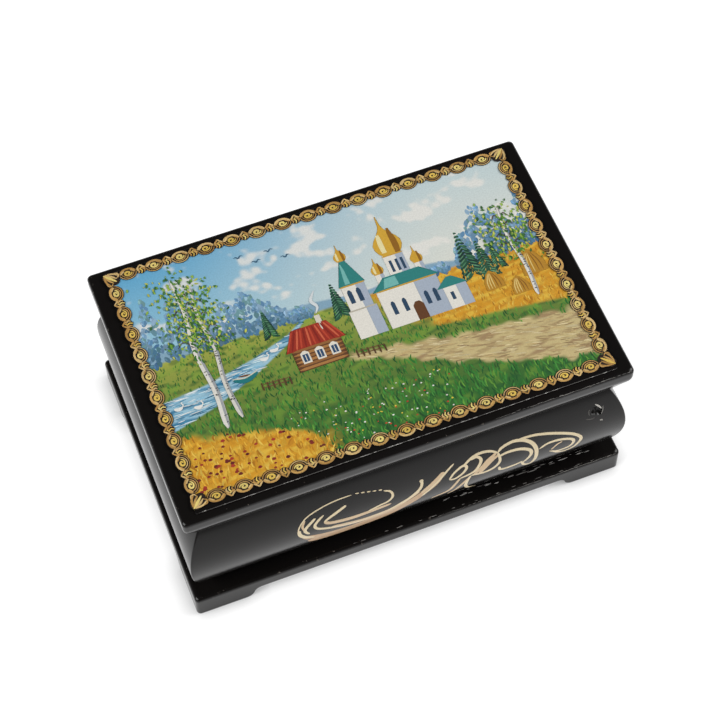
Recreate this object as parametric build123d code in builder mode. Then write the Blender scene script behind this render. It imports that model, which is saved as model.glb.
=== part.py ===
from build123d import *
import os

# A keepsake box of lacquered papier-mache board: a plinth on bracket feet, four swelling walls,
# and a hinged lid with an undercut frame and a thin picture panel on top.
# Millimetres. X runs along the box, -Y is the front, +Z is up.
# The origin is on the ground, under the middle of the box.

# Lid
LID_LENGTH = 150.0
LID_DEPTH = 98.0
LID_BOARD_THICKNESS = 3.6
LID_CORNER_RADIUS = 1.5  # upright corners of the lid
LID_EDGE_RADIUS = 1.2  # upper edges of the lid board
LID_RAIL_HEIGHT = 11.6
LID_EDGE_DROP = 1.4  # from the board down to where the rails' upright faces and slopes would meet
LID_UNDERCUT = 4.5  # how far the rails lean in on their way down
LID_OVERHANG = 5.5  # from the top of a wall out to the lid's edge
PARTING_GAP = 0.2  # between the walls and the closed lid

# Picture panel
PANEL_THICKNESS = 0.5
PANEL_END_MARGIN = 5.1  # bare lid at the left and right of the panel
PANEL_SIDE_MARGIN = 2.5  # bare lid in front of the panel and behind it
PANEL_CORNER_RADIUS = 0.6

# Walls
WALL_HEIGHT = 37.3
WALL_TOP_THICKNESS = 6.6
WALL_FOOT_THICKNESS = 5.0
WALL_BULGE = 6.3  # rise of the outer arc over its chord

# Plinth, feet and floor
PLINTH_HEIGHT = 9.8
PLINTH_LEDGE = 7.3  # flat ledge outside the walls
PLINTH_CORNER_RADIUS = 1.5
PLINTH_EDGE_RADIUS = 1.2
FOOT_HEIGHT = 4.4
FOOT_LENGTH = 17.0  # level underside of a foot, from the plinth's corner
FOOT_OGEE_RUN = 5.5  # length of the S curve that ends a foot
FLOOR_THICKNESS = 3.0
FLOOR_TONGUE = 2.0  # part of the floor board that lies under the walls
FLOOR_LEDGE = 3.0  # part of the plinth that lies under the open floor
FLOOR_CLEARANCE = 0.1

# Hinges
HINGE_LENGTH = 20.0
HINGE_END_DISTANCE = 24.0  # from the end of the cavity to the middle of a hinge
HINGE_BARREL_RADIUS = 1.5
HINGE_SETBACK = 0.25  # from the back wall's top edge to the barrel
LEAF_WIDTH = 6.3  # from the barrel's axis to the leaf's inner edge
LEAF_THICKNESS = 0.8
LEAF_CLEARANCE = 0.1  # between a leaf and its mortise
KNUCKLE_GAP = 0.15  # between neighbouring knuckles, and from a knuckle to the other leaf
BARREL_CLEARANCE = 0.3  # between the barrel and the groove it lies in
PIN_RADIUS = 0.7
PIN_CLEARANCE = 0.04
PIN_HEAD_RADIUS = 1.1
PIN_HEAD_THICKNESS = 0.4
SCREW_SPACING = 12.0
SCREW_LENGTH = 5.0
SCREW_SHANK_RADIUS = 0.55
SCREW_HEAD_RADIUS = 1.15
SCREW_HEAD_DEPTH = 0.6
SCREW_SLOT_WIDTH = 0.3
SCREW_SLOT_DEPTH = 0.25
SCREW_CLEARANCE = 0.03

# Places that follow from the sizes
LID_REACH = WALL_TOP_THICKNESS + LID_OVERHANG  # lid edge, outwards from the cavity face
PLINTH_REACH = WALL_FOOT_THICKNESS + PLINTH_LEDGE
CAVITY_LENGTH = LID_LENGTH - 2 * LID_REACH
CAVITY_DEPTH = LID_DEPTH - 2 * LID_REACH
WALL_TOP = PLINTH_HEIGHT + WALL_HEIGHT
LID_UNDERSIDE = WALL_TOP + PARTING_GAP
BOARD_UNDERSIDE = LID_UNDERSIDE + LID_RAIL_HEIGHT
LID_TOP = BOARD_UNDERSIDE + LID_BOARD_THICKNESS
FLOOR_UNDERSIDE = PLINTH_HEIGHT - FLOOR_THICKNESS

HINGE_Y = CAVITY_DEPTH / 2 + WALL_TOP_THICKNESS + HINGE_SETBACK + HINGE_BARREL_RADIUS
HINGE_Z = WALL_TOP + PARTING_GAP / 2
HINGE_X = CAVITY_LENGTH / 2 - HINGE_END_DISTANCE
HINGES = {"left": -HINGE_X, "right": HINGE_X}
KNUCKLE_LENGTH = (HINGE_LENGTH - 2 * KNUCKLE_GAP) / 3
KNUCKLE_PITCH = KNUCKLE_LENGTH + KNUCKLE_GAP
PLATE_BACK = HINGE_Y - HINGE_BARREL_RADIUS - KNUCKLE_GAP  # back edge of a leaf's plate
PLATE_FRONT = HINGE_Y - LEAF_WIDTH
GROOVE_RADIUS = HINGE_BARREL_RADIUS + BARREL_CLEARANCE
GROOVE_LENGTH = HINGE_LENGTH + 2 * (PIN_HEAD_THICKNESS + BARREL_CLEARANCE)
ALONG_X = tuple(Plane.YZ.location.orientation)  # turns an upright cylinder so that it lies along X

# Each side: its outward direction, its cavity face's distance from the middle, half the cavity's run
SIDES = {
    "front": (Vector(0, -1, 0), CAVITY_DEPTH / 2, CAVITY_LENGTH / 2),
    "back": (Vector(0, 1, 0), CAVITY_DEPTH / 2, CAVITY_LENGTH / 2),
    "left": (Vector(-1, 0, 0), CAVITY_LENGTH / 2, CAVITY_DEPTH / 2),
    "right": (Vector(1, 0, 0), CAVITY_LENGTH / 2, CAVITY_DEPTH / 2),
}


def along(side):
    """Level direction in which a side runs."""
    return SIDES[side][0].cross(Vector(0, 0, 1))


def section_plane(side):
    """Plane across a side: x runs outwards from the cavity face, y runs up from the ground."""
    outward, reach, _ = SIDES[side]
    return Plane(origin=outward * reach, x_dir=outward, z_dir=along(side))


def elevation_plane(side):
    """Upright plane on a side's cavity face: x runs along the side, y runs up, z points outwards."""
    outward, reach, _ = SIDES[side]
    return Plane(origin=outward * reach, x_dir=Vector(0, 0, 1).cross(outward), z_dir=outward)


def half_run(side, reach):
    """Half the length of a mitred side at a distance outwards from its cavity face."""
    return SIDES[side][2] + reach


def mitre_plan(side, inner, outer):
    """Plan of a mitred side between two distances outwards from its cavity face."""
    outward, face, _ = SIDES[side]
    corners = []
    for reach, end in ((inner, -1), (outer, -1), (outer, 1), (inner, 1)):
        corner = outward * (face + reach) + along(side) * (end * half_run(side, reach))
        corners.append((corner.X, corner.Y))
    return Polygon(*corners, align=None)


def screw_places(level):
    """Middles of the screw heads of both hinges at one level."""
    middle = (PLATE_FRONT + PLATE_BACK) / 2
    return [(x + end * SCREW_SPACING / 2, middle, level) for x in HINGES.values() for end in (-1, 1)]


def hinge_recesses(up):
    """Cut both hinges' mortises, barrel grooves and screw holes into a wall (up=-1) or a lid rail (up=1)."""
    level = HINGE_Z + up * PARTING_GAP / 2
    upright = Align.MIN if up > 0 else Align.MAX
    mortise_front = PLATE_FRONT - LEAF_CLEARANCE
    with Locations(*[(x, mortise_front, level) for x in HINGES.values()]):
        Box(
            HINGE_LENGTH + 2 * LEAF_CLEARANCE,
            HINGE_Y - mortise_front,
            LEAF_THICKNESS,
            align=(Align.CENTER, Align.MIN, upright),
            mode=Mode.SUBTRACT,
        )
    with Locations(*[(x, HINGE_Y, HINGE_Z) for x in HINGES.values()]):
        Cylinder(GROOVE_RADIUS, GROOVE_LENGTH, rotation=ALONG_X, mode=Mode.SUBTRACT)
    with Locations(*screw_places(level)):
        Cylinder(
            SCREW_SHANK_RADIUS + SCREW_CLEARANCE,
            SCREW_LENGTH + SCREW_CLEARANCE,
            align=(Align.CENTER, Align.CENTER, upright),
            mode=Mode.SUBTRACT,
        )


os.makedirs("parts", exist_ok=True)

# Lid board
with BuildPart() as lid_board:
    with BuildSketch(Plane.XY.offset(BOARD_UNDERSIDE)):
        RectangleRounded(LID_LENGTH, LID_DEPTH, LID_CORNER_RADIUS)
    extrude(amount=LID_BOARD_THICKNESS)
    fillet(lid_board.faces().sort_by(Axis.Z)[-1].edges(), LID_EDGE_RADIUS)
lid_board.part.label = "lid_board"
export_step(lid_board.part, "parts/lid_board.step")

# Picture panel, glued on the lid board
with BuildPart() as picture_panel:
    with BuildSketch(Plane.XY.offset(LID_TOP)):
        RectangleRounded(
            LID_LENGTH - 2 * PANEL_END_MARGIN,
            LID_DEPTH - 2 * PANEL_SIDE_MARGIN,
            PANEL_CORNER_RADIUS,
        )
    extrude(amount=PANEL_THICKNESS)
picture_panel.part.label = "picture_panel"
export_step(picture_panel.part, "parts/picture_panel.step")

# Lid rails: a mitred frame whose outer faces round over and lean in under the board
edge_corner = Vector(LID_REACH, BOARD_UNDERSIDE - LID_EDGE_DROP)
slope_foot = Vector(LID_REACH - LID_UNDERCUT, LID_UNDERSIDE)
slope_top = edge_corner + (slope_foot - edge_corner).normalized() * LID_EDGE_DROP
for side in SIDES:
    with BuildPart() as lid_rail:
        with BuildSketch(Plane.XY.offset(LID_UNDERSIDE)):
            mitre_plan(side, 0, LID_REACH)
        extrude(amount=LID_RAIL_HEIGHT)
        with BuildSketch(Plane.XY.offset(LID_UNDERSIDE)):
            RectangleRounded(LID_LENGTH, LID_DEPTH, LID_CORNER_RADIUS)
        extrude(amount=LID_RAIL_HEIGHT, mode=Mode.INTERSECT)
        with BuildSketch(section_plane(side)):
            with BuildLine():
                Polyline(
                    slope_top,
                    slope_foot,
                    (0, LID_UNDERSIDE),
                    (0, BOARD_UNDERSIDE),
                    (LID_REACH, BOARD_UNDERSIDE),
                )
                TangentArc((LID_REACH, BOARD_UNDERSIDE), slope_top, tangent=(0, -1))
            make_face()
        extrude(amount=half_run(side, LID_REACH), both=True, mode=Mode.INTERSECT)
        if side == "back":
            hinge_recesses(up=1)
    lid_rail.part.label = f"lid_rail_{side}"
    export_step(lid_rail.part, f"parts/lid_rail_{side}.step")

# Walls: flat inside, one arc outside, mitred at the corners
WALL_CROWN = (WALL_TOP_THICKNESS + WALL_FOOT_THICKNESS) / 2 + WALL_BULGE
for side in SIDES:
    with BuildPart() as wall:
        with BuildSketch(Plane.XY.offset(PLINTH_HEIGHT)):
            mitre_plan(side, 0, WALL_CROWN + WALL_BULGE)
        extrude(amount=WALL_HEIGHT)
        with BuildSketch(section_plane(side)):
            with BuildLine():
                Polyline(
                    (WALL_FOOT_THICKNESS, PLINTH_HEIGHT),
                    (0, PLINTH_HEIGHT),
                    (0, WALL_TOP),
                    (WALL_TOP_THICKNESS, WALL_TOP),
                )
                ThreePointArc(
                    (WALL_TOP_THICKNESS, WALL_TOP),
                    (WALL_CROWN, PLINTH_HEIGHT + WALL_HEIGHT / 2),
                    (WALL_FOOT_THICKNESS, PLINTH_HEIGHT),
                )
            make_face()
        extrude(amount=half_run(side, WALL_CROWN + WALL_BULGE), both=True, mode=Mode.INTERSECT)
        if side == "back":
            hinge_recesses(up=-1)
    wall.part.label = f"wall_{side}"
    export_step(wall.part, f"parts/wall_{side}.step")

# Floor board, trapped between the walls and the plinth
with BuildPart() as floor_board:
    with BuildSketch(Plane.XY.offset(FLOOR_UNDERSIDE)):
        Rectangle(CAVITY_LENGTH + 2 * FLOOR_TONGUE, CAVITY_DEPTH + 2 * FLOOR_TONGUE)
    extrude(amount=FLOOR_THICKNESS)
floor_board.part.label = "floor_board"
export_step(floor_board.part, "parts/floor_board.step")

# Plinth rails: rebated for the floor board, and cut away below between the bracket feet
for side in SIDES:
    plinth_end = half_run(side, PLINTH_REACH)
    foot_end = plinth_end - FOOT_LENGTH
    ogee_middle = foot_end - FOOT_OGEE_RUN / 2
    ogee_end = foot_end - FOOT_OGEE_RUN
    rebate = FLOOR_TONGUE + FLOOR_CLEARANCE
    with BuildPart() as plinth_rail:
        with BuildSketch(Plane.XY):
            mitre_plan(side, -FLOOR_LEDGE, PLINTH_REACH)
        extrude(amount=PLINTH_HEIGHT)
        with BuildSketch(Plane.XY):
            RectangleRounded(
                CAVITY_LENGTH + 2 * PLINTH_REACH, CAVITY_DEPTH + 2 * PLINTH_REACH, PLINTH_CORNER_RADIUS
            )
        extrude(amount=PLINTH_HEIGHT, mode=Mode.INTERSECT)
        with BuildSketch(section_plane(side)) as section:
            Polygon(
                (-FLOOR_LEDGE, 0),
                (PLINTH_REACH, 0),
                (PLINTH_REACH, PLINTH_HEIGHT),
                (rebate, PLINTH_HEIGHT),
                (rebate, FLOOR_UNDERSIDE),
                (-FLOOR_LEDGE, FLOOR_UNDERSIDE),
                align=None,
            )
            upper_edge = section.vertices().sort_by_distance((PLINTH_REACH, PLINTH_HEIGHT))[0]
            fillet(upper_edge, PLINTH_EDGE_RADIUS)
        extrude(amount=plinth_end, both=True, mode=Mode.INTERSECT)
        with BuildSketch(elevation_plane(side).offset(-FLOOR_LEDGE)):
            with BuildLine():
                TangentArc((-foot_end, 0), (-ogee_middle, FOOT_HEIGHT / 2), tangent=(1, 0))
                TangentArc((-ogee_end, FOOT_HEIGHT), (-ogee_middle, FOOT_HEIGHT / 2), tangent=(-1, 0))
                Line((-ogee_end, FOOT_HEIGHT), (ogee_end, FOOT_HEIGHT))
                TangentArc((ogee_end, FOOT_HEIGHT), (ogee_middle, FOOT_HEIGHT / 2), tangent=(1, 0))
                TangentArc((foot_end, 0), (ogee_middle, FOOT_HEIGHT / 2), tangent=(-1, 0))
                Line((foot_end, 0), (-foot_end, 0))
            make_face()
        extrude(amount=FLOOR_LEDGE + PLINTH_REACH, mode=Mode.SUBTRACT)
    plinth_rail.part.label = f"plinth_rail_{side}"
    export_step(plinth_rail.part, f"parts/plinth_rail_{side}.step")

# Hinge leaves: the box leaf has the two outer knuckles, the lid leaf has the middle one
LEAVES = {"box": (-1, (-KNUCKLE_PITCH, KNUCKLE_PITCH)), "lid": (1, (0,))}
for hinge, hinge_x in HINGES.items():
    for owner, (up, knuckles) in LEAVES.items():
        leaf_face = HINGE_Z + up * PARTING_GAP / 2
        upright = Align.MIN if up > 0 else Align.MAX
        outwards = Rotation(180, 0, 0) if up > 0 else Rotation(0, 0, 0)
        with BuildPart() as leaf:
            with Locations((hinge_x, PLATE_FRONT, leaf_face)):
                Box(
                    HINGE_LENGTH,
                    PLATE_BACK - PLATE_FRONT,
                    LEAF_THICKNESS,
                    align=(Align.CENTER, Align.MIN, upright),
                )
            with Locations(*[(hinge_x + shift, PLATE_BACK, leaf_face) for shift in knuckles]):
                Box(
                    KNUCKLE_LENGTH,
                    HINGE_Y - PLATE_BACK,
                    LEAF_THICKNESS,
                    align=(Align.CENTER, Align.MIN, upright),
                )
            with Locations(*[(hinge_x + shift, HINGE_Y, HINGE_Z) for shift in knuckles]):
                Cylinder(HINGE_BARREL_RADIUS, KNUCKLE_LENGTH, rotation=ALONG_X)
            with Locations((hinge_x, HINGE_Y, HINGE_Z)):
                Cylinder(PIN_RADIUS + PIN_CLEARANCE, HINGE_LENGTH, rotation=ALONG_X, mode=Mode.SUBTRACT)
            places = [place for place in screw_places(leaf_face) if abs(place[0] - hinge_x) < HINGE_LENGTH / 2]
            with Locations(*[Location(place) * outwards for place in places]):
                CounterSinkHole(
                    SCREW_SHANK_RADIUS + SCREW_CLEARANCE,
                    SCREW_HEAD_RADIUS + SCREW_CLEARANCE,
                    depth=LEAF_THICKNESS,
                    counter_sink_angle=90,
                )
        leaf.part.label = f"hinge_{owner}_leaf_{hinge}"
        export_step(leaf.part, f"parts/hinge_{owner}_leaf_{hinge}.step")

# Hinge pins, each with a small head riveted over at both ends
for hinge, hinge_x in HINGES.items():
    with BuildPart() as hinge_pin:
        with Locations((hinge_x, HINGE_Y, HINGE_Z)):
            Cylinder(PIN_RADIUS, HINGE_LENGTH, rotation=ALONG_X)
        head_shift = (HINGE_LENGTH + PIN_HEAD_THICKNESS) / 2
        with Locations(*[(hinge_x + end * head_shift, HINGE_Y, HINGE_Z) for end in (-1, 1)]):
            Cylinder(PIN_HEAD_RADIUS, PIN_HEAD_THICKNESS, rotation=ALONG_X)
    hinge_pin.part.label = f"hinge_pin_{hinge}"
    export_step(hinge_pin.part, f"parts/hinge_pin_{hinge}.step")

# Hinge screws: countersunk, slotted, flush with the leaves
for owner, (up, _) in LEAVES.items():
    leaf_face = HINGE_Z + up * PARTING_GAP / 2
    outwards = Rotation(180, 0, 0) if up > 0 else Rotation(0, 0, 0)
    with BuildPart() as hinge_screws:
        with Locations(*[Location(place) * outwards for place in screw_places(leaf_face)]):
            Cylinder(SCREW_SHANK_RADIUS, SCREW_LENGTH, align=(Align.CENTER, Align.CENTER, Align.MAX))
            Cone(
                SCREW_SHANK_RADIUS,
                SCREW_HEAD_RADIUS,
                SCREW_HEAD_DEPTH,
                align=(Align.CENTER, Align.CENTER, Align.MAX),
            )
            Box(
                2 * SCREW_HEAD_RADIUS,
                SCREW_SLOT_WIDTH,
                SCREW_SLOT_DEPTH,
                align=(Align.CENTER, Align.CENTER, Align.MAX),
                mode=Mode.SUBTRACT,
            )
    hinge_screws.part.label = f"hinge_screws_{owner}"
    export_step(hinge_screws.part, f"parts/hinge_screws_{owner}.step")
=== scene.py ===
"""Looks of a hinged keepsake box in black lacquer, with a painted lid and gold brush ornament.

Sizes are millimetres until a mesh is made. X runs along the box, -Y is its front and +Z is up.
"""

import logging
import math
from dataclasses import dataclass, field
from enum import Enum
from typing import Callable, Sequence

import bpy
import numpy as np
from mathutils import Matrix, Vector
from numpy.typing import NDArray


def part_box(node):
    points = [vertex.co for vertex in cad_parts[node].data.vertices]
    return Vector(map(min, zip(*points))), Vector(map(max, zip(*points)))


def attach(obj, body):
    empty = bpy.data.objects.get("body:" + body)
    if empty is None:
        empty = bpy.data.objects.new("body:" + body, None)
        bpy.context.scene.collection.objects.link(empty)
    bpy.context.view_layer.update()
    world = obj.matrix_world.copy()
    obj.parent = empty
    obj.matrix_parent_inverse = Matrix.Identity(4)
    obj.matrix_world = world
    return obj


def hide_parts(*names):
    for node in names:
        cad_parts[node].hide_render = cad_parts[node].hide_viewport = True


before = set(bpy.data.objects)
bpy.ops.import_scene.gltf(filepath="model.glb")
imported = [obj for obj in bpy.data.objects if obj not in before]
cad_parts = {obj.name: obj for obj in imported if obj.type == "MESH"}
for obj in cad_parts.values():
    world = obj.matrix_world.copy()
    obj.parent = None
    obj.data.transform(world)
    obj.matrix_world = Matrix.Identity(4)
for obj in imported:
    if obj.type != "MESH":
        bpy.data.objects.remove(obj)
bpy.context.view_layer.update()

Array = NDArray[np.float64]
Whole = NDArray[np.int64]
Knots = Sequence[tuple[float, float]]  # given points

MM = 0.001
CRISP_ANGLE = 38.0  # degrees past which an edge stays crisp
LOG = logging.getLogger("lacquer_box")


class Body(Enum):
    """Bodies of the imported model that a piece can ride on."""

    BOX = "box"
    LID = "lid"


class Slot(Enum):
    """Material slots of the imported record."""

    BLACK = "black_lacquer"
    RED = "red_lacquer"
    PICTURE = "painted_panel"
    BRASS = "brass"


class Side(Enum):
    """Sides of the box, as the CAD nodes name them."""

    FRONT = "front"
    BACK = "back"
    LEFT = "left"
    RIGHT = "right"


def linear(colour: str) -> tuple[float, float, float]:
    """An sRGB hex colour as linear light.

    Args:
        colour: six hex digits after a hash sign.

    Returns:
        Red, green and blue from 0 to 1.
    """
    code = np.array([int(colour[i : i + 2], 16) for i in (1, 3, 5)]) / 255
    light = np.where(code <= 0.04045, code / 12.92, ((code + 0.055) / 1.055) ** 2.4)
    return tuple(light.tolist())


def rgba(colour: str) -> tuple[float, float, float, float]:
    """An sRGB hex colour as an opaque linear socket value."""
    return (*linear(colour), 1.0)


def per_metre(size: float) -> float:
    """The texture scale that gives a pattern of this size in millimetres."""
    return 1 / (size * MM)


def add_node(
    tree: bpy.types.NodeTree, kind: str, inputs: dict | None = None, out: str | int = 0, **settings: object
) -> bpy.types.NodeSocket:
    """Adds a shader node, sets it and links it.

    Args:
        tree: the node tree that takes the node.
        kind: the node's type name, without ShaderNode in front.
        inputs: socket name or number to a value, or to the output socket that feeds it.
        out: name or number of the output socket to give back.
        settings: the node's own properties.

    Returns:
        That output socket.
    """
    node = tree.nodes.new(f"ShaderNode{kind}")
    for name, value in settings.items():
        setattr(node, name, value)
    for name, value in (inputs or {}).items():
        if isinstance(value, bpy.types.NodeSocket):
            tree.links.new(value, node.inputs[name])
        else:
            node.inputs[name].default_value = value
    return node.outputs[out]


@dataclass(frozen=True)
class Finish:
    """A surface finish: its even values sit on the shader's sockets, its pattern in nodes."""

    name: str
    colour: str
    roughness: float
    metallic: float = 0.0
    ior: float = 1.5
    coat: float = 0.0
    coat_roughness: float = 0.03
    glow: float = 0.0

    def material(self) -> bpy.types.Material:
        """The finish as a material, made once and shared.

        Returns:
            The material.
        """
        if self.name in bpy.data.materials:
            return bpy.data.materials[self.name]
        made = bpy.data.materials.new(self.name)
        made.use_nodes = True
        shader = made.node_tree.nodes["Principled BSDF"]
        even = {
            "Base Color": rgba(self.colour),
            "Roughness": self.roughness,
            "Metallic": self.metallic,
            "IOR": self.ior,
            "Coat Weight": self.coat,
            "Coat Roughness": self.coat_roughness,
            "Emission Color": rgba("#ffffff"),
            "Emission Strength": self.glow,
        }
        for socket, value in even.items():
            shader.inputs[socket].default_value = value
        self.pattern(made.node_tree, shader)
        return made

    def pattern(self, tree: bpy.types.NodeTree, shader: bpy.types.Node) -> None:
        """Adds what varies over the surface; a plain finish adds nothing."""


@dataclass(frozen=True)
class BrushedLacquer(Finish):
    """Oil lacquer on papier-mache board, brushed on in coats and rubbed down.

    It gives the eye a deep mirror gloss with faint brush ripple, hazy patches, lint caught in the
    coat and small pale rubs along the arrises. A band is the noise values from none to full.
    """

    rub_colour: str = "#6e675f"
    rub_size: float = 1.3
    rub_band: tuple[float, float] = (0.67, 0.77)
    rub_dulling: float = 0.35  # roughness added where the coat is rubbed
    lint_colour: str = "#2a2826"
    lint_size: float = 0.55
    lint_band: tuple[float, float] = (0.80, 0.84)
    haze: float = 0.07  # roughness added in the haziest patches
    haze_size: float = 16.0
    haze_band: tuple[float, float] = (0.35, 0.7)
    ripple_size: float = 1.6
    ripple_stretch: float = 0.12  # brush marks run along the box
    ripple_depth: float = 0.0022

    def pattern(self, tree: bpy.types.NodeTree, shader: bpy.types.Node) -> None:
        """Adds the haze, brush ripple, lint and rubbed arrises.

        Args:
            tree: the material's nodes.
            shader: its surface shader.
        """
        place = add_node(tree, "TexCoord", out="Object")
        stretch = (self.ripple_stretch, 1.0, 1.0)
        brushed = add_node(tree, "Mapping", {"Vector": place, "Scale": stretch})
        noises = (
            (place, self.haze_size, 4.0),
            (place, self.lint_size, 1.0),
            (place, self.rub_size, 3.0),
            (brushed, self.ripple_size, 3.0),
        )
        haze, lint, grit, ripples = (
            add_node(tree, "TexNoise", {"Vector": at, "Scale": per_metre(size), "Detail": detail})
            for at, size, detail in noises
        )
        edge = add_node(tree, "Attribute", out="Fac", attribute_name="wear")
        worn = add_node(tree, "Math", {0: grit, 1: edge}, operation="MULTIPLY")
        specks, rubs = (
            add_node(tree, "MapRange", {"Value": value, "From Min": low, "From Max": high})
            for value, (low, high) in ((lint, self.lint_band), (worn, self.rub_band))
        )
        tint = rgba(self.colour)
        for share, over in ((specks, self.lint_colour), (rubs, self.rub_colour)):
            tint = add_node(tree, "Mix", {"Factor": share, 6: tint, 7: rgba(over)}, 2, data_type="RGBA")
        tree.links.new(tint, shader.inputs["Base Color"])
        low, high = self.haze_band
        span = {"From Min": low, "From Max": high, "To Min": self.roughness}
        hazed = add_node(tree, "MapRange", {"Value": haze, **span, "To Max": self.roughness + self.haze})
        dulled = add_node(tree, "Math", {0: rubs, 1: self.rub_dulling, 2: hazed}, operation="MULTIPLY_ADD")
        tree.links.new(dulled, shader.inputs["Roughness"])
        relief = {"Height": ripples, "Strength": 1.0, "Distance": self.ripple_depth * MM}
        tree.links.new(add_node(tree, "Bump", relief), shader.inputs["Normal"])


@dataclass(frozen=True)
class RolledBrass(Finish):
    """Yellow brass strip, rolled and pressed, a little tarnished.

    It gives the eye a soft metal gleam with fine drawn lines and brown patches.
    """

    tarnish: str = "#6b4a22"
    patch_size: float = 3.0
    patch_band: tuple[float, float] = (0.45, 0.75)  # noise values from clean to brown
    line_size: float = 0.25
    line_stretch: float = 0.05
    line_depth: float = 0.004
    line_strength: float = 0.6

    def pattern(self, tree: bpy.types.NodeTree, shader: bpy.types.Node) -> None:
        """Adds the tarnish patches and the drawn lines.

        Args:
            tree: the material's nodes.
            shader: its surface shader.
        """
        place = add_node(tree, "TexCoord", out="Object")
        scale = per_metre(self.patch_size)
        patches = add_node(tree, "TexNoise", {"Vector": place, "Scale": scale, "Detail": 4.0})
        low, high = self.patch_band
        amount = add_node(tree, "MapRange", {"Value": patches, "From Min": low, "From Max": high})
        tones = {"Factor": amount, 6: rgba(self.colour), 7: rgba(self.tarnish)}
        tree.links.new(add_node(tree, "Mix", tones, 2, data_type="RGBA"), shader.inputs["Base Color"])
        drawn = add_node(tree, "Mapping", {"Vector": place, "Scale": (self.line_stretch, 1.0, 1.0)})
        height = add_node(tree, "TexNoise", {"Vector": drawn, "Scale": per_metre(self.line_size)})
        relief = {"Height": height, "Strength": self.line_strength, "Distance": self.line_depth * MM}
        tree.links.new(add_node(tree, "Bump", relief), shader.inputs["Normal"])


@dataclass(frozen=True)
class LayeredPaint(Finish):
    """Paint laid in brush strokes, each with its own colour, which the mesh carries.

    It gives the eye separate strokes with a slight grain, under whatever gloss its coat has.
    """

    grain_size: float = 0.5
    grain: float = 0.14  # share by which the grain darkens the paint
    grain_band: tuple[float, float] = (0.3, 0.7)  # noise values from darkest to clear

    def pattern(self, tree: bpy.types.NodeTree, shader: bpy.types.Node) -> None:
        """Adds the strokes' colours and the grain.

        Args:
            tree: the material's nodes.
            shader: its surface shader.
        """
        place = add_node(tree, "TexCoord", out="Object")
        tint = add_node(tree, "Attribute", out="Color", attribute_name="paint")
        scale = per_metre(self.grain_size)
        noise = add_node(tree, "TexNoise", {"Vector": place, "Scale": scale, "Detail": 3.0})
        low, high = self.grain_band
        span = {"From Min": low, "From Max": high, "To Min": 1 - self.grain, "To Max": 1.0}
        shade = add_node(tree, "MapRange", {"Value": noise, **span})
        grained = add_node(tree, "VectorMath", {"Vector": tint, "Scale": shade}, operation="SCALE")
        tree.links.new(grained, shader.inputs["Base Color"])


@dataclass(frozen=True)
class BacklitAcrylic(Finish):
    """White acrylic sheet lit from below, as a product table has.

    It gives the eye clean white, and a painted contact shadow dims its glow close under what stands on it.
    """

    painted_shadow_reach: float = 6.0  # distance over which standing things dim the sheet
    painted_shadow_samples: int = 16

    def pattern(self, tree: bpy.types.NodeTree, shader: bpy.types.Node) -> None:
        """Paints a contact shadow: dims the glow where something stands close by.

        Args:
            tree: the material's nodes.
            shader: its surface shader.
        """
        # ambient occlusion scales the glow down here: a painted contact shadow
        reach = {"Distance": self.painted_shadow_reach * MM}
        painted_contact_shadow = add_node(tree, "AmbientOcclusion", reach, "AO", samples=self.painted_shadow_samples)
        glow_under_painted_shadow = add_node(tree, "Math", {0: painted_contact_shadow, 1: self.glow}, operation="MULTIPLY")
        tree.links.new(glow_under_painted_shadow, shader.inputs["Emission Strength"])


OIL_PAINT = LayeredPaint("oil_paint_under_lacquer", "#808080", 0.5, coat=1.0, coat_roughness=0.04)
GILT_PAINT = LayeredPaint("bronze_powder_gilding", "#d3ad60", 0.42, metallic=0.08, coat=0.4)
SCROLL_PAINT = LayeredPaint("tan_bronze_paint", "#d6b88a", 0.45, coat=0.25, grain_size=0.3, grain=0.18)
# pale paint of chips and scuffs, also laid as painted highlights on two arrises, the panel's edge and the
# ledge
BARE_PAPER_AND_HIGHLIGHTS = LayeredPaint("bare_papier_mache_and_painted_highlights", "#a3a09a", 0.75, grain_size=0.25, grain=0.3)
BLACK_LACQUER = BrushedLacquer("black_oil_lacquer", "#131110", 0.15, ior=1.34)
RED_LACQUER = BrushedLacquer(
    "red_oil_lacquer", "#8a1410", 0.16, rub_colour="#b0483a", lint_colour="#6a1a14"
)
LINED = (BLACK_LACQUER, RED_LACQUER)  # black outside and red inside
BRASS = RolledBrass("rolled_yellow_brass", "#c79a4b", 0.28, metallic=1.0)
FLOOR_SHEET = BacklitAcrylic("backlit_white_acrylic", "#b4b4b4", 0.9, glow=0.78)


@dataclass
class Surface:
    """A mesh in the making: places in millimetres and faces as rows of vertex numbers."""

    places: Array
    faces: list[list[int]]
    finishes: Whole | None = None  # finish number of each face
    wear: Array | None = None  # 1 where an arris is rubbed
    paint: Array | None = None  # linear colour of each vertex

    def bare(self, name: str) -> bpy.types.Object:
        """The surface as an object in the scene, without finishes.

        Args:
            name: the object's name.

        Returns:
            The new object.
        """
        mesh = bpy.data.meshes.new(name)
        mesh.from_pydata((self.places * MM).tolist(), [], self.faces)
        made = bpy.data.objects.new(name, mesh)
        bpy.context.scene.collection.objects.link(made)
        return made


def node_box(node: str) -> tuple[Array, Array]:
    """Lowest and highest corner of a CAD node, in millimetres."""
    low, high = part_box(node)
    return np.array(low) / MM, np.array(high) / MM


def grid_faces(rows: int, columns: int, close_rows: bool, close_columns: bool) -> Whole:
    """Quads of a grid of vertices numbered row by row.

    Args:
        rows: rows of vertices.
        columns: vertices in a row.
        close_rows: whether the last row joins the first.
        close_columns: whether each row is a closed loop.

    Returns:
        One row of four vertex numbers per quad.
    """
    i = np.arange(rows if close_rows else rows - 1)[:, None]
    j = np.arange(columns if close_columns else columns - 1)[None, :]
    below, after = (i + 1) % rows, (j + 1) % columns
    corners = [i * columns + j, below * columns + j, below * columns + after, i * columns + after]
    return np.stack(np.broadcast_arrays(*corners), axis=-1).reshape(-1, 4)


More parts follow.
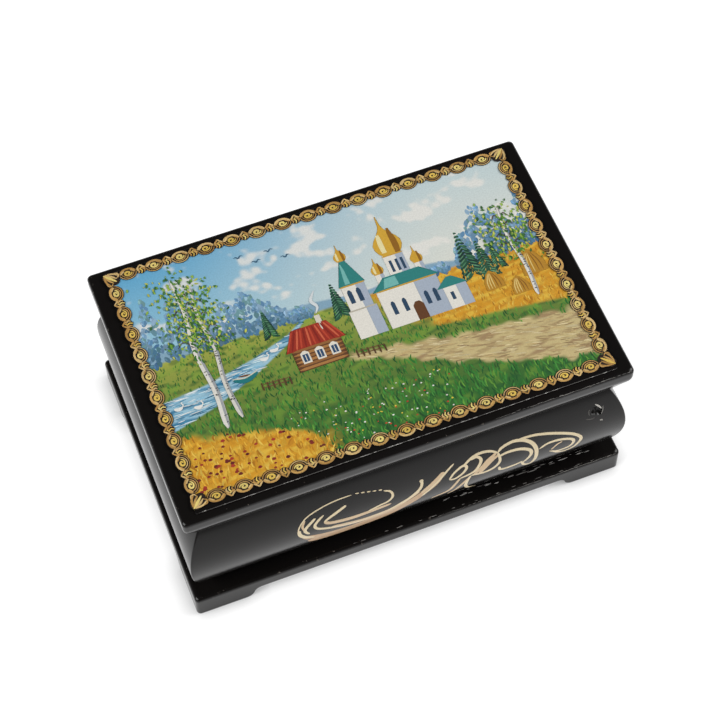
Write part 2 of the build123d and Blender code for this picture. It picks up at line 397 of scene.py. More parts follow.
def rounded_profile(
    corners: Sequence[tuple[float, float, float]], steps: int, hold: float, closed: bool
) -> tuple[Array, Array]:
    """A polygon's outline with arcs at its corners.

    Each corner becomes an arc of its radius that touches both sides, between two points that
    hold the sides flat. A radius of zero keeps the bare point.

    Args:
        corners: x, y and radius of each corner.
        steps: arc divisions.
        hold: distance from an arc's end to the point that holds the side flat.
        closed: whether the last corner joins the first; otherwise both end points stay bare.

    Returns:
        The outline's points, and 1 for points on arcs or 0 for the others.
    """
    data = np.array(corners, float)
    points, radii = data[:, :2], data[:, 2].copy()
    if not closed:
        radii[[0, -1]] = 0
    before = np.roll(points, 1, axis=0) - points
    after = np.roll(points, -1, axis=0) - points
    before /= np.linalg.norm(before, axis=1, keepdims=True)
    after /= np.linalg.norm(after, axis=1, keepdims=True)
    half = np.arccos(np.clip((before * after).sum(1), -1, 1)) / 2
    touch = (radii / np.tan(half))[:, None]
    middle = points + (before + after) / (2 * np.cos(half) * np.sin(half))[:, None] * radii[:, None]
    turn = np.pi - 2 * half
    share = np.linspace(0, 1, steps + 1)
    safe = np.where(radii > 0, radii, 1)[:, None]
    first, last = (points + before * touch - middle) / safe, (points + after * touch - middle) / safe
    weights = [np.sin((1 - share) * turn[:, None]), np.sin(share * turn[:, None])]
    arcs = middle[:, None] + radii[:, None, None] / np.sin(turn)[:, None, None] * (
        weights[0][:, :, None] * first[:, None] + weights[1][:, :, None] * last[:, None]
    )
    starts = (points + before * (touch + hold))[:, None]
    ends = (points + after * (touch + hold))[:, None]
    rows = np.concatenate([starts, arcs, ends], axis=1)
    marks = np.r_[0.0, np.ones(steps + 1), 0.0]
    outline = [row if r > 0 else point[None] for row, r, point in zip(rows, radii, points)]
    rubbed = [marks if r > 0 else np.zeros(1) for r in radii]
    return np.concatenate(outline), np.concatenate(rubbed)


def rounded_loops(
    halves: Array, radius: float, steps: int, hold: float, stations: tuple[Array, Array]
) -> Array:
    """Rounded rectangles about the origin, anticlockwise from above.

    Each corner is a quarter circle between two hold points, and the straights between corners
    carry points at the given stations.

    Args:
        halves: half length and half depth of each rectangle.
        radius: corner radius.
        steps: divisions of a corner.
        hold: distance from a corner arc's end to the point that holds the side flat.
        stations: rising x places on the front and back, and y places on the left and right.

    Returns:
        Places as rectangle, point, x and y.
    """
    half_x, half_y = halves[:, :1], halves[:, 1:]
    angle = np.linspace(0, np.pi / 2, steps + 1)
    loops = []
    for quarter, (sign_x, sign_y) in enumerate(((1, 1), (-1, 1), (-1, -1), (1, -1))):
        turned = angle + quarter * np.pi / 2
        x = sign_x * (half_x - radius) + radius * np.cos(turned)
        y = sign_y * (half_y - radius) + radius * np.sin(turned)
        arc = np.stack([x, y], axis=-1)
        tangents = np.stack([-np.sin(turned), np.cos(turned)], axis=-1)
        loops += [arc[:, :1] - hold * tangents[0], arc, arc[:, -1:] + hold * tangents[-1]]
        along = stations[quarter % 2][:: -1 if quarter < 2 else 1]
        run = np.broadcast_to(along, (len(halves), len(along)))
        across = np.broadcast_to(sign_y * half_y if quarter % 2 == 0 else sign_x * half_x, run.shape)
        loops.append(np.stack([run, across] if quarter % 2 == 0 else [across, run], axis=-1))
    return np.concatenate(loops, axis=1)


NO_STATIONS = (np.zeros(0), np.zeros(0))


@dataclass
class FrameSweep:
    """A profile carried round a rectangle, like a moulding round a frame."""

    core: Array  # half length and half depth that the profile's x is measured from
    profile: Array
    rubbed: Array
    corner_radius: float
    closed: bool
    corner_steps: int = 6
    hold: float = 0.6
    stations: tuple[Array, Array] = NO_STATIONS

    def loops(self) -> Array:
        """The rounded rectangle at each profile point.

        Returns:
            Places as profile point, loop point, and x, y and z.
        """
        halves = self.core + self.profile[:, :1]
        flat = rounded_loops(halves, self.corner_radius, self.corner_steps, self.hold, self.stations)
        height = np.broadcast_to(self.profile[:, 1][:, None, None], (*flat.shape[:2], 1))
        return np.concatenate([flat, height], axis=-1)

    def surface(self, loops: Array, inner: Array) -> Surface:
        """The swept skin, with flat caps where the profile is open.

        Args:
            loops: places of the loops, as loops() gives them.
            inner: whether each profile point belongs to the inside finish.

        Returns:
            The closed skin, with finish 1 where a face lies between two inner points.
        """
        rows, columns = loops.shape[:2]
        quads = grid_faces(rows, columns, self.closed, True)
        band = np.repeat(np.arange(rows if self.closed else rows - 1), columns)
        finish = (inner[band] & inner[(band + 1) % rows]).astype(int)
        faces = quads.tolist()
        if not self.closed:
            last = (rows - 1) * columns
            faces += [list(range(columns)), list(range(last + columns - 1, last - 1, -1))]
            finish = np.r_[finish, int(inner[0]), int(inner[-1])]
        return Surface(loops.reshape(-1, 3), faces, finish, wear=np.repeat(self.rubbed, columns))


def add_piece(
    name: str,
    surface: Surface,
    finishes: Sequence[Finish],
    body: Body,
    stands_for: Sequence[str] = (),
) -> bpy.types.Object:
    """Puts a finished surface into the scene as a piece that rides on a body.

    Args:
        name: the piece's name.
        surface: its mesh in the making.
        finishes: its finishes, in the order of the surface's finish numbers.
        body: the body that it moves with.
        stands_for: CAD nodes that it replaces.

    Returns:
        The new object.
    """
    piece = surface.bare(name)
    mesh = piece.data
    for finish in finishes:
        mesh.materials.append(finish.material())
    if surface.finishes is not None:
        mesh.polygons.foreach_set("material_index", surface.finishes)
    mesh.polygons.foreach_set("use_smooth", np.ones(len(surface.faces), bool))
    if surface.wear is not None:
        mesh.attributes.new("wear", "FLOAT", "POINT").data.foreach_set("value", surface.wear)
    if surface.paint is not None:
        opaque = np.c_[surface.paint, np.ones(len(surface.paint))]
        mesh.attributes.new("paint", "FLOAT_COLOR", "POINT").data.foreach_set("color", opaque.ravel())
    mesh.set_sharp_from_angle(angle=math.radians(CRISP_ANGLE))
    mesh.update()
    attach(piece, body.value)
    if stands_for:
        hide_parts(*stands_for)
    LOG.info("%s: %d faces, on %s", name, len(mesh.polygons), body.value)
    return piece


def carve(piece: bpy.types.Object, cutter: Surface) -> None:
    """Cuts a closed surface out of a piece and keeps the result as the piece's mesh.

    Args:
        piece: the piece that is cut.
        cutter: the closed surface to take away.
    """
    tool = cutter.bare("cutter")
    cut = piece.modifiers.new("cut", "BOOLEAN")
    cut.operation, cut.solver, cut.object = "DIFFERENCE", "EXACT", tool
    graph = bpy.context.evaluated_depsgraph_get()
    carved = bpy.data.meshes.new_from_object(piece.evaluated_get(graph))
    piece.modifiers.clear()
    piece.data = carved
    bpy.data.objects.remove(tool)


Chart = Callable[[Array, Array], Array]  # flat places and a lift, to places in space
Stroke = tuple[float, Array, float]  # width, path, and share of the width at the tips
Brushwork = Sequence[tuple[float, str, Knots]]  # width, hex colour and points of each stroke

LAYER_STEP = 0.006  # from one layer of strokes to the next
LEVELS = 8  # close levels inside a layer, so that two strokes that cross rarely share a plane
LEVEL_STEP = 0.0006
SPLINE_STEPS = 40  # for each point that a spline runs through
TIP_LENGTH = 0.05  # share of a stroke that its rounded tip takes
TIP_WIDTH = 0.02  # least opening of a tip
DAB_WIDTHS = np.array([0.25, 0.8, 1.0, 0.8, 0.25])
WAVES = 16  # in a random field


@dataclass
class Strokes:
    """Brush strokes: centre lines on a flat chart, with their widths and colours."""

    paths: Array  # stroke, point, place
    widths: Array  # stroke, point
    colours: Array  # stroke, linear colour


def spline(knots: Knots, count: int) -> Array:
    """A smooth line through given points, at even steps along its length.

    Between two points it is the Catmull-Rom cubic of those two and their neighbours.

    Args:
        knots: the points it passes through.
        count: how many points to return.

    Returns:
        The line's points.
    """
    points = np.array(knots, float)
    ends = [2 * points[:1] - points[1:2], 2 * points[-1:] - points[-2:-1]]
    padded = np.concatenate([ends[0], points, ends[1]])
    place = np.linspace(0, len(points) - 1, SPLINE_STEPS * len(points))
    first = np.minimum(place.astype(int), len(points) - 2)
    part = (place - first)[:, None]
    a, b, c, d = (padded[first + i] for i in range(4))
    cubic = (2 * a - 5 * b + 4 * c - d) * part**2 + (3 * b - a - 3 * c + d) * part**3
    line = b + ((c - a) * part + cubic) / 2
    length = np.r_[0, np.cumsum(np.linalg.norm(np.diff(line, axis=0), axis=1))]
    even = np.linspace(0, length[-1], count)
    return np.stack([np.interp(even, length, line[:, axis]) for axis in (0, 1)], axis=1)


def swelling(count: int, start: float, end: float) -> Array:
    """Width along a stroke as a share of its widest: a sine swell with rounded tips.

    Args:
        count: points along the stroke.
        start: share near its first tip.
        end: share near its last tip.

    Returns:
        One share per point.
    """
    place = np.linspace(0, 1, count)
    least = np.where(place < 0.5, start, end)
    tip = np.sqrt(np.clip(np.minimum(place, 1 - place) / TIP_LENGTH + TIP_WIDTH, 0, 1))
    return (least + (1 - least) * np.sin(np.pi * place)) * tip


def dabs(
    places: Array, length: Array, width: Array, angle: Array, colours: Array, bow: float = 0.0
) -> Strokes:
    """Short strokes, each laid over its place, straight or bowed like a parabola.

    Args:
        places: the middle of each.
        length: length of each.
        width: greatest width of each.
        angle: direction of each, in radians.
        colours: linear colour of each.
        bow: height of the bow as a share of the length.

    Returns:
        The strokes.
    """
    share = np.linspace(-0.5, 0.5, len(DAB_WIDTHS))
    along = np.stack([np.cos(angle), np.sin(angle)], axis=1)
    across = along[:, ::-1] * (-1, 1)
    run = share[:, None] * along[:, None] + (bow * (1 - 4 * share**2))[:, None] * across[:, None]
    paths = places[:, None] + length[:, None, None] * run
    return Strokes(paths, width[:, None] * DAB_WIDTHS, colours)


def picked(
    rng: np.random.Generator, palette: Sequence[str], count: int, spread: float = 0.18
) -> Array:
    """Colours drawn at random from a palette, each a little lighter or darker.

    Args:
        rng: the random source.
        palette: hex colours.
        count: how many to draw.
        spread: greatest change of lightness, as a share.

    Returns:
        Linear colours.
    """
    base = np.array([linear(colour) for colour in palette])[rng.integers(len(palette), size=count)]
    return np.clip(base * rng.uniform(1 - spread, 1 + spread, (count, 1)), 0, 1)


def ribbons(layers: Sequence[Strokes], chart: Chart, lift: float, crest: float) -> Surface:
    """Strokes as closed three-sided ribbons: two edges on the surface, and a crest between them.

    The edges lie half a width to each side of the centre line, square to its direction.

    Args:
        layers: strokes, from the lowest layer up.
        chart: maps flat places and a lift to places in space.
        lift: lift of the lowest layer.
        crest: height of a crest over its edges.

    Returns:
        The ribbons, with their colours.
    """
    places, quads, caps, paints = [], [], [], []
    start = 0
    for number, layer in enumerate(layers):
        count, points = layer.widths.shape
        along = np.gradient(layer.paths, axis=1)
        along /= np.linalg.norm(along, axis=2, keepdims=True) + 1e-9
        across = np.stack([-along[..., 1], along[..., 0]], axis=2) * layer.widths[..., None] / 2
        level = lift + LAYER_STEP * number + LEVEL_STEP * (np.arange(count) % LEVELS)[:, None]
        level = np.broadcast_to(level, (count, points))
        rise = level + crest * layer.widths / layer.widths.max(axis=1, keepdims=True)
        sides = [chart(layer.paths + across, level), chart(layer.paths - across, level)]
        rows = [sides[0], chart(layer.paths, rise), sides[1]]
        places.append(np.stack(rows, axis=2).reshape(-1, 3))
        first = start + 3 * points * np.arange(count)[:, None, None]
        quads.append((grid_faces(points, 3, False, True)[:, ::-1] + first).reshape(-1, 4))
        tips = np.array([[2, 1, 0], [3 * points - 3, 3 * points - 2, 3 * points - 1]])
        caps.append((tips + first).reshape(-1, 3))
        paints.append(np.repeat(layer.colours, 3 * points, axis=0))
        start += 3 * points * count
    faces = np.concatenate(quads).tolist() + np.concatenate(caps).tolist()
    return Surface(np.concatenate(places), faces, paint=np.concatenate(paints))


def lines(strokes: Brushwork, count: int, start: float = 0.4, end: float = 0.4) -> Strokes:
    """Listed strokes, each a width, a colour and the points that it runs through.

    Args:
        strokes: width, hex colour and points of each.
        count: points along each stroke.
        start: share of the width near its first tip.
        end: share of the width near its last tip.

    Returns:
        The strokes.
    """
    paths = np.stack([spline(points, count) for _, _, points in strokes])
    widths = np.array([width for width, _, _ in strokes])[:, None] * swelling(count, start, end)
    return Strokes(paths, widths, np.array([linear(colour) for _, colour, _ in strokes]))


def ripple(x: Array, y: Array, size: float, seed: int) -> Array:
    """A smooth random field of about unit spread.

    It is the sum of plane waves of about one length, each with its own heading and phase.

    Args:
        x: places along the panel.
        y: places across it.
        size: the waves' length in millimetres.
        seed: picks the headings and phases.

    Returns:
        The field at each place.
    """
    rng = np.random.default_rng(seed)
    heading, phase = rng.uniform(0, 2 * np.pi, (2, WAVES))
    count = 2 * np.pi / size * rng.uniform(0.6, 1.6, WAVES)
    wave = x[..., None] * np.cos(heading) * count + y[..., None] * np.sin(heading) * count
    return np.cos(wave + phase).sum(axis=-1) / math.sqrt(WAVES / 2)


def smooth(value: Array, low: float, high: float) -> Array:
    """Rises from 0 at low to 1 at high, level at both ends."""
    share = np.clip((value - low) / (high - low), 0, 1)
    return share * share * (3 - 2 * share)


def mixed(base: Array, over: str | Array, share: Array) -> Array:
    """Linear colours blended from a base to another colour by a share from 0 to 1."""
    tint = np.array(linear(over)) if isinstance(over, str) else over
    return base + (tint - base) * share[..., None]


def on_rounding(places: Array, lift: Array, front: float, top: float, radius: float) -> Array:
    """Places on a rounded front arris, a quarter circle between an upright face and a level top.

    Args:
        places: x, and distance along the quarter circle up from its middle.
        lift: height over the surface.
        front: distance of the upright face from the middle of the box.
        top: height of the level top.
        radius: the arris's radius.

    Returns:
        Places in space.
    """
    swing = np.pi / 4 + places[..., 1] / radius
    reach = radius + lift
    y = -(front - radius) - reach * np.cos(swing)
    z = top - radius + reach * np.sin(swing)
    return np.stack([places[..., 0], y, z], axis=-1)


@dataclass
class Carcass:
    """The box below the lid: bulged walls, plinth on bracket feet and floor board."""

    wall_top_thickness: float = 6.6
    wall_foot_thickness: float = 5.0
    wall_bulge: float = 6.3  # rise of the outer arc over its chord
    wall_corner_radius: float = 0.45
    bulge_steps: int = 30
    rim_radius: float = 0.5
    plinth_corner_radius: float = 1.5
    plinth_edge_radius: float = 1.2
    foot_length: float = 17.0
    foot_height: float = 4.4
    foot_ogee_run: float = 5.5
    foot_arris: float = 0.45
    foot_hold: float = 0.6  # of the outline above a foot's arris that follows the foot's underside
    ogee_steps: int = 8
    ogee_margin: float = 0.5  # from an ogee's ends to the points that hold the level parts
    floor_tongue: float = 2.1
    floor_ledge: float = 3.0
    cap_inset: float = 2.0  # from a flat board's edge to its closing cap
    arris: float = 0.08
    core: Array = field(init=False)
    wall_top: float = field(init=False)
    plinth_top: float = field(init=False)
    plinth_reach: float = field(init=False)
    floor_underside: float = field(init=False)

    def __post_init__(self) -> None:
        """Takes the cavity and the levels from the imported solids."""
        front, left = node_box("wall_front"), node_box("wall_left")
        self.core = np.array([-left[1][0], -front[1][1]])
        self.wall_top, self.plinth_top = front[1][2], front[0][2]
        self.plinth_reach = -node_box("plinth_rail_front")[0][1] - self.core[1]
        self.floor_underside = node_box("floor_board")[0][2]

    def arc(self, share: Array) -> tuple[Array, Array, float]:
        """The walls' outer arc, as reach from the cavity face and height.

        The arc passes through the wall's top edge, its crown half way up and its foot. Its radius
        is (half chord squared + rise squared) / (2 rise).

        Args:
            share: 0 at the top edge to 1 at the foot.

        Returns:
            Points, their outward directions, and the arc's whole length.
        """
        top = np.array([self.wall_top_thickness, self.wall_top])
        foot = np.array([self.wall_foot_thickness, self.plinth_top])
        chord = top - foot
        length = np.linalg.norm(chord)
        outward = np.array([chord[1], -chord[0]]) / length
        radius = (length**2 / 4 + self.wall_bulge**2) / (2 * self.wall_bulge)
        centre = (top + foot) / 2 - outward * (radius - self.wall_bulge)
        half = math.asin(length / 2 / radius)
        swing = half * (1 - 2 * np.asarray(share, float))[..., None]
        facing = np.cos(swing) * outward + np.sin(swing) * chord / length
        return centre + radius * facing, facing, 2 * half * radius

    def on_front(self, places: Array, lift: Array) -> Array:
        """Places on the front wall.

        Args:
            places: x, and distance from the wall's foot up its curve.
            lift: height over the surface.

        Returns:
            Places in space.
        """
        length = self.arc(np.zeros(1))[2]
        points, facing, _ = self.arc(1 - places[..., 1] / length)
        raised = points + facing * lift[..., None]
        return np.stack([places[..., 0], -self.core[1] - raised[..., 0], raised[..., 1]], axis=-1)

    def on_arris(self, places: Array, lift: Array) -> Array:
        """Places on the plinth's rounded front arris, from x and distance up from its middle."""
        front = self.core[1] + self.plinth_reach
        return on_rounding(places, lift, front, self.plinth_top, self.plinth_edge_radius)

    def on_ledge(self, places: Array, lift: Array) -> Array:
        """Places on the plinth's ledge, from flat x and y and a height over it."""
        return np.concatenate([places, (self.plinth_top + lift)[..., None]], axis=-1)

    def walls(self) -> bpy.types.Object:
        """The four mitred walls as one lacquered skin, red inside.

        Returns:
            The piece.
        """
        arc = self.arc(np.linspace(0, 1, self.bulge_steps + 1))[0]
        corners = [(0, self.wall_top, self.rim_radius), (*arc[0], self.rim_radius)]
        corners += [(*point, 0) for point in arc[1:]] + [(0, self.plinth_top, 0)]
        profile, rubbed = rounded_profile(corners, steps=5, hold=0.4, closed=True)
        sweep = FrameSweep(self.core, profile, rubbed, self.wall_corner_radius, True, hold=0.3)
        skin = sweep.surface(sweep.loops(), profile[:, 0] < self.rim_radius)
        nodes = [f"wall_{side.value}" for side in Side]
        return add_piece("case_walls", skin, LINED, Body.BOX, nodes)

    def ogee_radius(self) -> float:
        """Radius of a foot's two equal arcs: (half run squared + half rise squared) / rise."""
        run, rise = self.foot_ogee_run / 2, self.foot_height / 2
        return (run**2 + rise**2) / (2 * rise)

    def foot_rise(self, inset: Array) -> Array:
        """Height of the plinth's underside: level feet, an S of two equal arcs, a raised span.

        Args:
            inset: distance from the plinth's corner along its side.

        Returns:
            Height above the ground.
        """
        run, radius = self.foot_ogee_run / 2, self.ogee_radius()
        along = np.clip(inset - self.foot_length, 0, 2 * run)
        near = np.minimum(along, 2 * run - along)
        lift = radius - np.sqrt(np.maximum(radius**2 - near**2, 0))
        return np.where(along <= run, lift, self.foot_height - lift)

    def foot_stations(self, half: float) -> Array:
        """Places along a side, from its middle, that follow the ogees of both its feet.

        Args:
            half: half the plinth's length on that side.

        Returns:
            Rising places.
        """
        run, radius, margin = self.foot_ogee_run / 2, self.ogee_radius(), self.ogee_margin
        first = radius * np.sin(np.linspace(0, math.asin(run / radius), self.ogee_steps))
        inset = self.foot_length + np.r_[-margin, first, 2 * run - first[-2::-1], 2 * run + margin]
        return np.sort(np.r_[half - inset, inset - half])

    def plinth(self) -> None:
        """Adds the moulded plinth with its bracket feet, as one lacquered skin."""
        reach, top, ledge = self.plinth_reach, self.plinth_top, -self.floor_ledge
        corners = [
            (self.floor_tongue, top, 0),
            (reach, top, self.plinth_edge_radius),
            (reach, 0, self.foot_arris),
            (ledge, 0, self.arris),
            (ledge, self.floor_underside, 0),
            (self.floor_tongue, self.floor_underside, 0),
        ]
        profile, rubbed = rounded_profile(corners, steps=5, hold=0.5, closed=True)
        outer = self.core + reach
        stations = (self.foot_stations(outer[0]), self.foot_stations(outer[1]))
        radius = self.plinth_corner_radius
        sweep = FrameSweep(self.core, profile, rubbed, radius, True, stations=stations)
        loops = sweep.loops()
        widest = profile[:, 0].argmax()
        from_corner = outer - np.abs(loops[widest, :, :2])
        inset = np.where(from_corner.min(axis=1) < 1e-6, from_corner.max(axis=1), 0)
        follows = (profile[:, 1] < self.foot_arris + self.foot_hold).astype(float)
        loops[..., 2] += follows[:, None] * self.foot_rise(inset)
        skin = sweep.surface(loops, np.zeros(len(profile), bool))
        nodes = [f"plinth_rail_{side.value}" for side in Side]
        add_piece("plinth", skin, (BLACK_LACQUER,), Body.BOX, nodes)

    def floor(self) -> None:
        """Adds the floor board, red inside the box and black below."""
        low, high = node_box("floor_board")
        edges = [(-self.cap_inset, 0), (0, self.arris)]
        corners = [(x, high[2], r) for x, r in edges] + [(x, low[2], r) for x, r in edges[::-1]]
        profile, rubbed = rounded_profile(corners, steps=2, hold=0.2, closed=False)
        sweep = FrameSweep(high[:2], profile, 0 * rubbed, self.arris, False, corner_steps=2, hold=0.2)
        skin = sweep.surface(sweep.loops(), profile[:, 1] > (low[2] + high[2]) / 2)
        add_piece("floor_panel", skin, LINED, Body.BOX, ["floor_board"])


@dataclass
class Lid:
    """The lid: a board on an undercut frame, with the picture's thin panel glued on top."""

    undercut: float = 4.5
    edge_drop: float = 1.4  # from the board to where upright face and slope would meet
    corner_radius: float = 1.5
    edge_radius: float = 1.2
    bevel_arris: float = 0.5
    rim_radius: float = 0.5
    panel_corner_radius: float = 0.6
    panel_arris: float = 0.14
    board_inset: float = 3.0  # from the board's edge to its closing cap
    cap_inset: float = 2.0  # from the hollow's side or the panel's edge to the closing cap
    core: Array = field(init=False)
    reach: float = field(init=False)
    underside: float = field(init=False)
    ceiling: float = field(init=False)
    top: float = field(init=False)
    panel_half: Array = field(init=False)
    panel_top: float = field(init=False)

    def __post_init__(self) -> None:
        """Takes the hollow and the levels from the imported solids."""
        rail, left = node_box("lid_rail_front"), node_box("lid_rail_left")
        board, panel = node_box("lid_board"), node_box("picture_panel")
        self.core = np.array([-left[1][0], -rail[1][1]])
        self.reach = board[1][1] - self.core[1]
        self.underside, self.ceiling, self.top = rail[0][2], board[0][2], board[1][2]
        self.panel_half, self.panel_top = panel[1][:2], panel[1][2]

    def case(self) -> bpy.types.Object:
        """The board and its four mitred rails as one lacquered skin, red inside.

        Returns:
            The piece.
        """
        reach = self.reach
        turn = self.ceiling - self.edge_drop
        lean = math.atan2(self.undercut, turn - self.underside)
        corners = [
            (reach - self.board_inset, self.top, 0),
            (reach, self.top, self.edge_radius),
            (reach, turn, self.edge_drop / math.tan(lean / 2)),
            (reach - self.undercut, self.underside, self.bevel_arris),
            (0, self.underside, self.rim_radius),
            (0, self.ceiling, self.rim_radius),
            (-self.cap_inset, self.ceiling, 0),
        ]
        profile, rubbed = rounded_profile(corners, steps=5, hold=0.5, closed=False)
        sweep = FrameSweep(self.core, profile, rubbed, self.corner_radius, False)
        skin = sweep.surface(sweep.loops(), profile[:, 0] < self.rim_radius)
        nodes = ["lid_board"] + [f"lid_rail_{side.value}" for side in Side]
        return add_piece("lid_case", skin, LINED, Body.LID, nodes)

    def on_arris(self, places: Array, lift: Array) -> Array:
        """Places on the lid's rounded front arris, from x and distance up from its middle."""
        return on_rounding(places, lift, self.core[1] + self.reach, self.top, self.edge_radius)

    def on_panel(self, places: Array, lift: Array) -> Array:
        """Places on the panel, from flat x and y and a height over it."""
        return np.concatenate([places, (self.panel_top + lift)[..., None]], axis=-1)

    def panel(self) -> None:
        """Adds the thin panel that carries the picture, black where the paint leaves it bare."""
        corners = [
            (-self.cap_inset, self.panel_top, 0),
            (0, self.panel_top, self.panel_arris),
            (0, self.top, 0),
            (-self.cap_inset, self.top, 0),
        ]
        profile, rubbed = rounded_profile(corners, steps=4, hold=0.1, closed=False)
        sweep = FrameSweep(self.panel_half, profile, rubbed, self.panel_corner_radius, False)
        skin = sweep.surface(sweep.loops(), np.zeros(len(profile), bool))
        add_piece("panel_board", skin, (BLACK_LACQUER,), Body.LID, ["picture_panel"])


def placed(layers: Sequence[Strokes], place: tuple[float, float], scale: float) -> list[Strokes]:
    """Layers drawn about the origin, enlarged and moved to their place."""
    return [Strokes(s.paths * scale + place, s.widths * scale, s.colours) for s in layers]


Shape = tuple[str, float, Knots]  # colour, middle x, and (height, half width) from the bottom up


@dataclass
class Picture:
    """The painted field: a summer river with a village, built up in layers of brush strokes."""

    low: tuple[float, float] = (-68.2, -42.9)
    high: tuple[float, float] = (68.2, 44.2)
    horizon: float = 8.0
    step: float = 0.45  # of the underpainting's grid
    tuck: float = 0.05  # depth of the underpainting's rim inside the panel
    lift: float = 0.006
    crest: float = 0.003
    church_place: tuple[float, float] = (20.0, -7.0)
    church_scale: float = 1.36
    cottage_place: tuple[float, float] = (-15.0, -11.5)
    cottage_scale: float = 1.15
    wood_dabs: int = 1700
    field_dabs: int = 4200
    water_dabs: int = 900
    track_dabs: int = 1300
    bark_marks: int = 26  # on each birch
    leaves: int = 300  # on each birch
    shape_rows: int = 40  # points up an upright shape
    rng: np.random.Generator = field(default_factory=lambda: np.random.default_rng(11))

    def cover(self, x: Array, y: Array) -> tuple[Array, Array, Array]:
        """What the land is covered with.

        The river is a band that widens from the horizon to the left edge, and the sandy track one
        that widens from the cottage to the right edge. Rye stands on the slope on the right and on
        a bank in the near left corner.

        Args:
            x: places along the panel.
            y: places across it.

        Returns:
            Shares of water, sand and ripe rye.
        """
        reach = [-68, -52, -36, -22, -14]
        middle = np.interp(x, reach, [-12, -9, -4, 2, 8])
        half = np.interp(x, reach, [5.6, 4.3, 2.7, 1.3, 0.3])
        water = smooth(half - np.abs(y - middle), -0.3, 0.3) * smooth(-12 - x, 0, 1)
        reach = [-6, 10, 26, 46, 68]
        middle = np.interp(x, reach, [-12, -16, -21, -26, -30])
        half = np.interp(x, reach, [0.8, 2.6, 5.0, 7.6, 9.6]) + 0.5 * ripple(x, y, 8, 30)
        sand = smooth(half - np.abs(y - middle), -0.9, 0.9) * smooth(x, -8, -4)
        verge = np.interp(x, reach, [-8, -10, -12, -14, -17])
        slope = smooth(x + y + 2 * ripple(x, y, 9, 32), 8, 18) * smooth(y - verge, 0, 1.5)
        slope = slope * smooth(self.horizon + 0.4 - y, 0, 0.6)
        bank = smooth(-17.5 - 0.34 * (x + 68) + ripple(x, y, 14, 31) - y, 0, 3) * smooth(-x, 16, 30)
        return water, sand, np.maximum(slope, bank)

    def colours(self, x: Array, y: Array) -> Array:
        """The underpainting: sky with cloud, far hills, meadow, rye, sand and water.

        Args:
            x: places along the panel.
            y: places across it.

        Returns:
            Linear colour at each place.
        """
        up = np.clip((y - self.horizon) / (self.high[1] - self.horizon), 0, 1)
        near = np.clip((self.horizon - y) / (self.horizon - self.low[1]), 0, 1)
        # The sky pales to near-white towards the right: partly the painting's own pale sky, partly painted
        # glare.
        side = smooth(x, -62, 48)
        water, sand, rye = self.cover(x, y)
        plain = np.zeros((*x.shape, 3))
        zenith = mixed(plain + linear("#66b4de"), "#d2e5e8", side)
        haze = mixed(plain + linear("#acdaea"), "#f0f0e4", side)
        sky = mixed(haze, zenith, up)
        puffs = ripple(x, 1.9 * y, 30, 1) + 0.5 * ripple(x, 1.6 * y, 12, 2)
        puffs += 0.3 * ripple(x, 1.4 * y, 5, 3)
        sky = mixed(sky, "#fbf8f0", 0.8 * smooth(puffs, 0.3, 1.7))
        hills = smooth(self.horizon + 3 + ripple(x, 0 * y, 34, 4) - y, -0.4, 0.4)
        sky = mixed(sky, "#8fb4cb", hills)
        land = mixed(plain + linear("#b9bd52"), "#1f6a2a", near**0.5)
        land = mixed(land, "#7fae3c", 0.45 * smooth(ripple(x, 2.2 * y, 13, 5), 0.1, 1.4))
        land = mixed(land, "#1b5a2c", 0.5 * smooth(ripple(x, 2.6 * y, 8, 6), 0.5, 1.6))
        ears = smooth(ripple(x, 3 * y, 9, 7), -0.5, 1.2)
        gold = mixed(plain + linear("#e5a428"), "#f2c546", ears)
        gold = mixed(gold, "#c67f1c", 0.5 * smooth(ripple(x, 2 * y, 5, 8), 0.4, 1.5))
        land = mixed(land, gold, rye)
        drift = smooth(ripple(0.3 * x, 1.6 * y, 5, 9), 0, 1.6)
        land = mixed(land, mixed(plain + linear("#d8c48c"), "#b0936a", drift), sand)
        waves = smooth(ripple(0.25 * x, 2 * y, 5, 10), -0.6, 1.4)
        land = mixed(land, mixed(plain + linear("#a9d5e8"), "#3f86ad", waves), water)
        return mixed(land, sky, smooth(y - self.horizon, -0.3, 0.3))

    def ground(self, chart: Chart) -> Surface:
        """The underpainting as a thin closed slab whose rim is tucked into the panel.

        Args:
            chart: maps flat places and a lift onto the panel.

        Returns:
            The slab, with its colours.
        """
        axes = [np.arange(a, b + self.step / 2, self.step) for a, b in zip(self.low, self.high)]
        x, y = np.meshgrid(*axes, indexing="ij")
        inside = np.zeros(x.shape, bool)
        inside[1:-1, 1:-1] = True
        places = chart(np.stack([x, y], axis=-1), np.where(inside, self.lift, -self.tuck))
        rows, columns = x.shape
        rim = np.arange(rows * columns).reshape(rows, columns)
        under = np.r_[rim[0], rim[1:, -1], rim[-1, -2::-1], rim[-2:0:-1, 0]]
        faces = grid_faces(rows, columns, False, False).tolist() + [under.tolist()]
        return Surface(places.reshape(-1, 3), faces, paint=self.colours(x, y).reshape(-1, 3))

    def scatter(self, count: int, spread: Sequence[float]) -> Array:
        """Random places in a rectangle given as its lowest x and y and its highest x and y."""
        return self.rng.uniform(spread[:2], spread[2:], (count, 2))

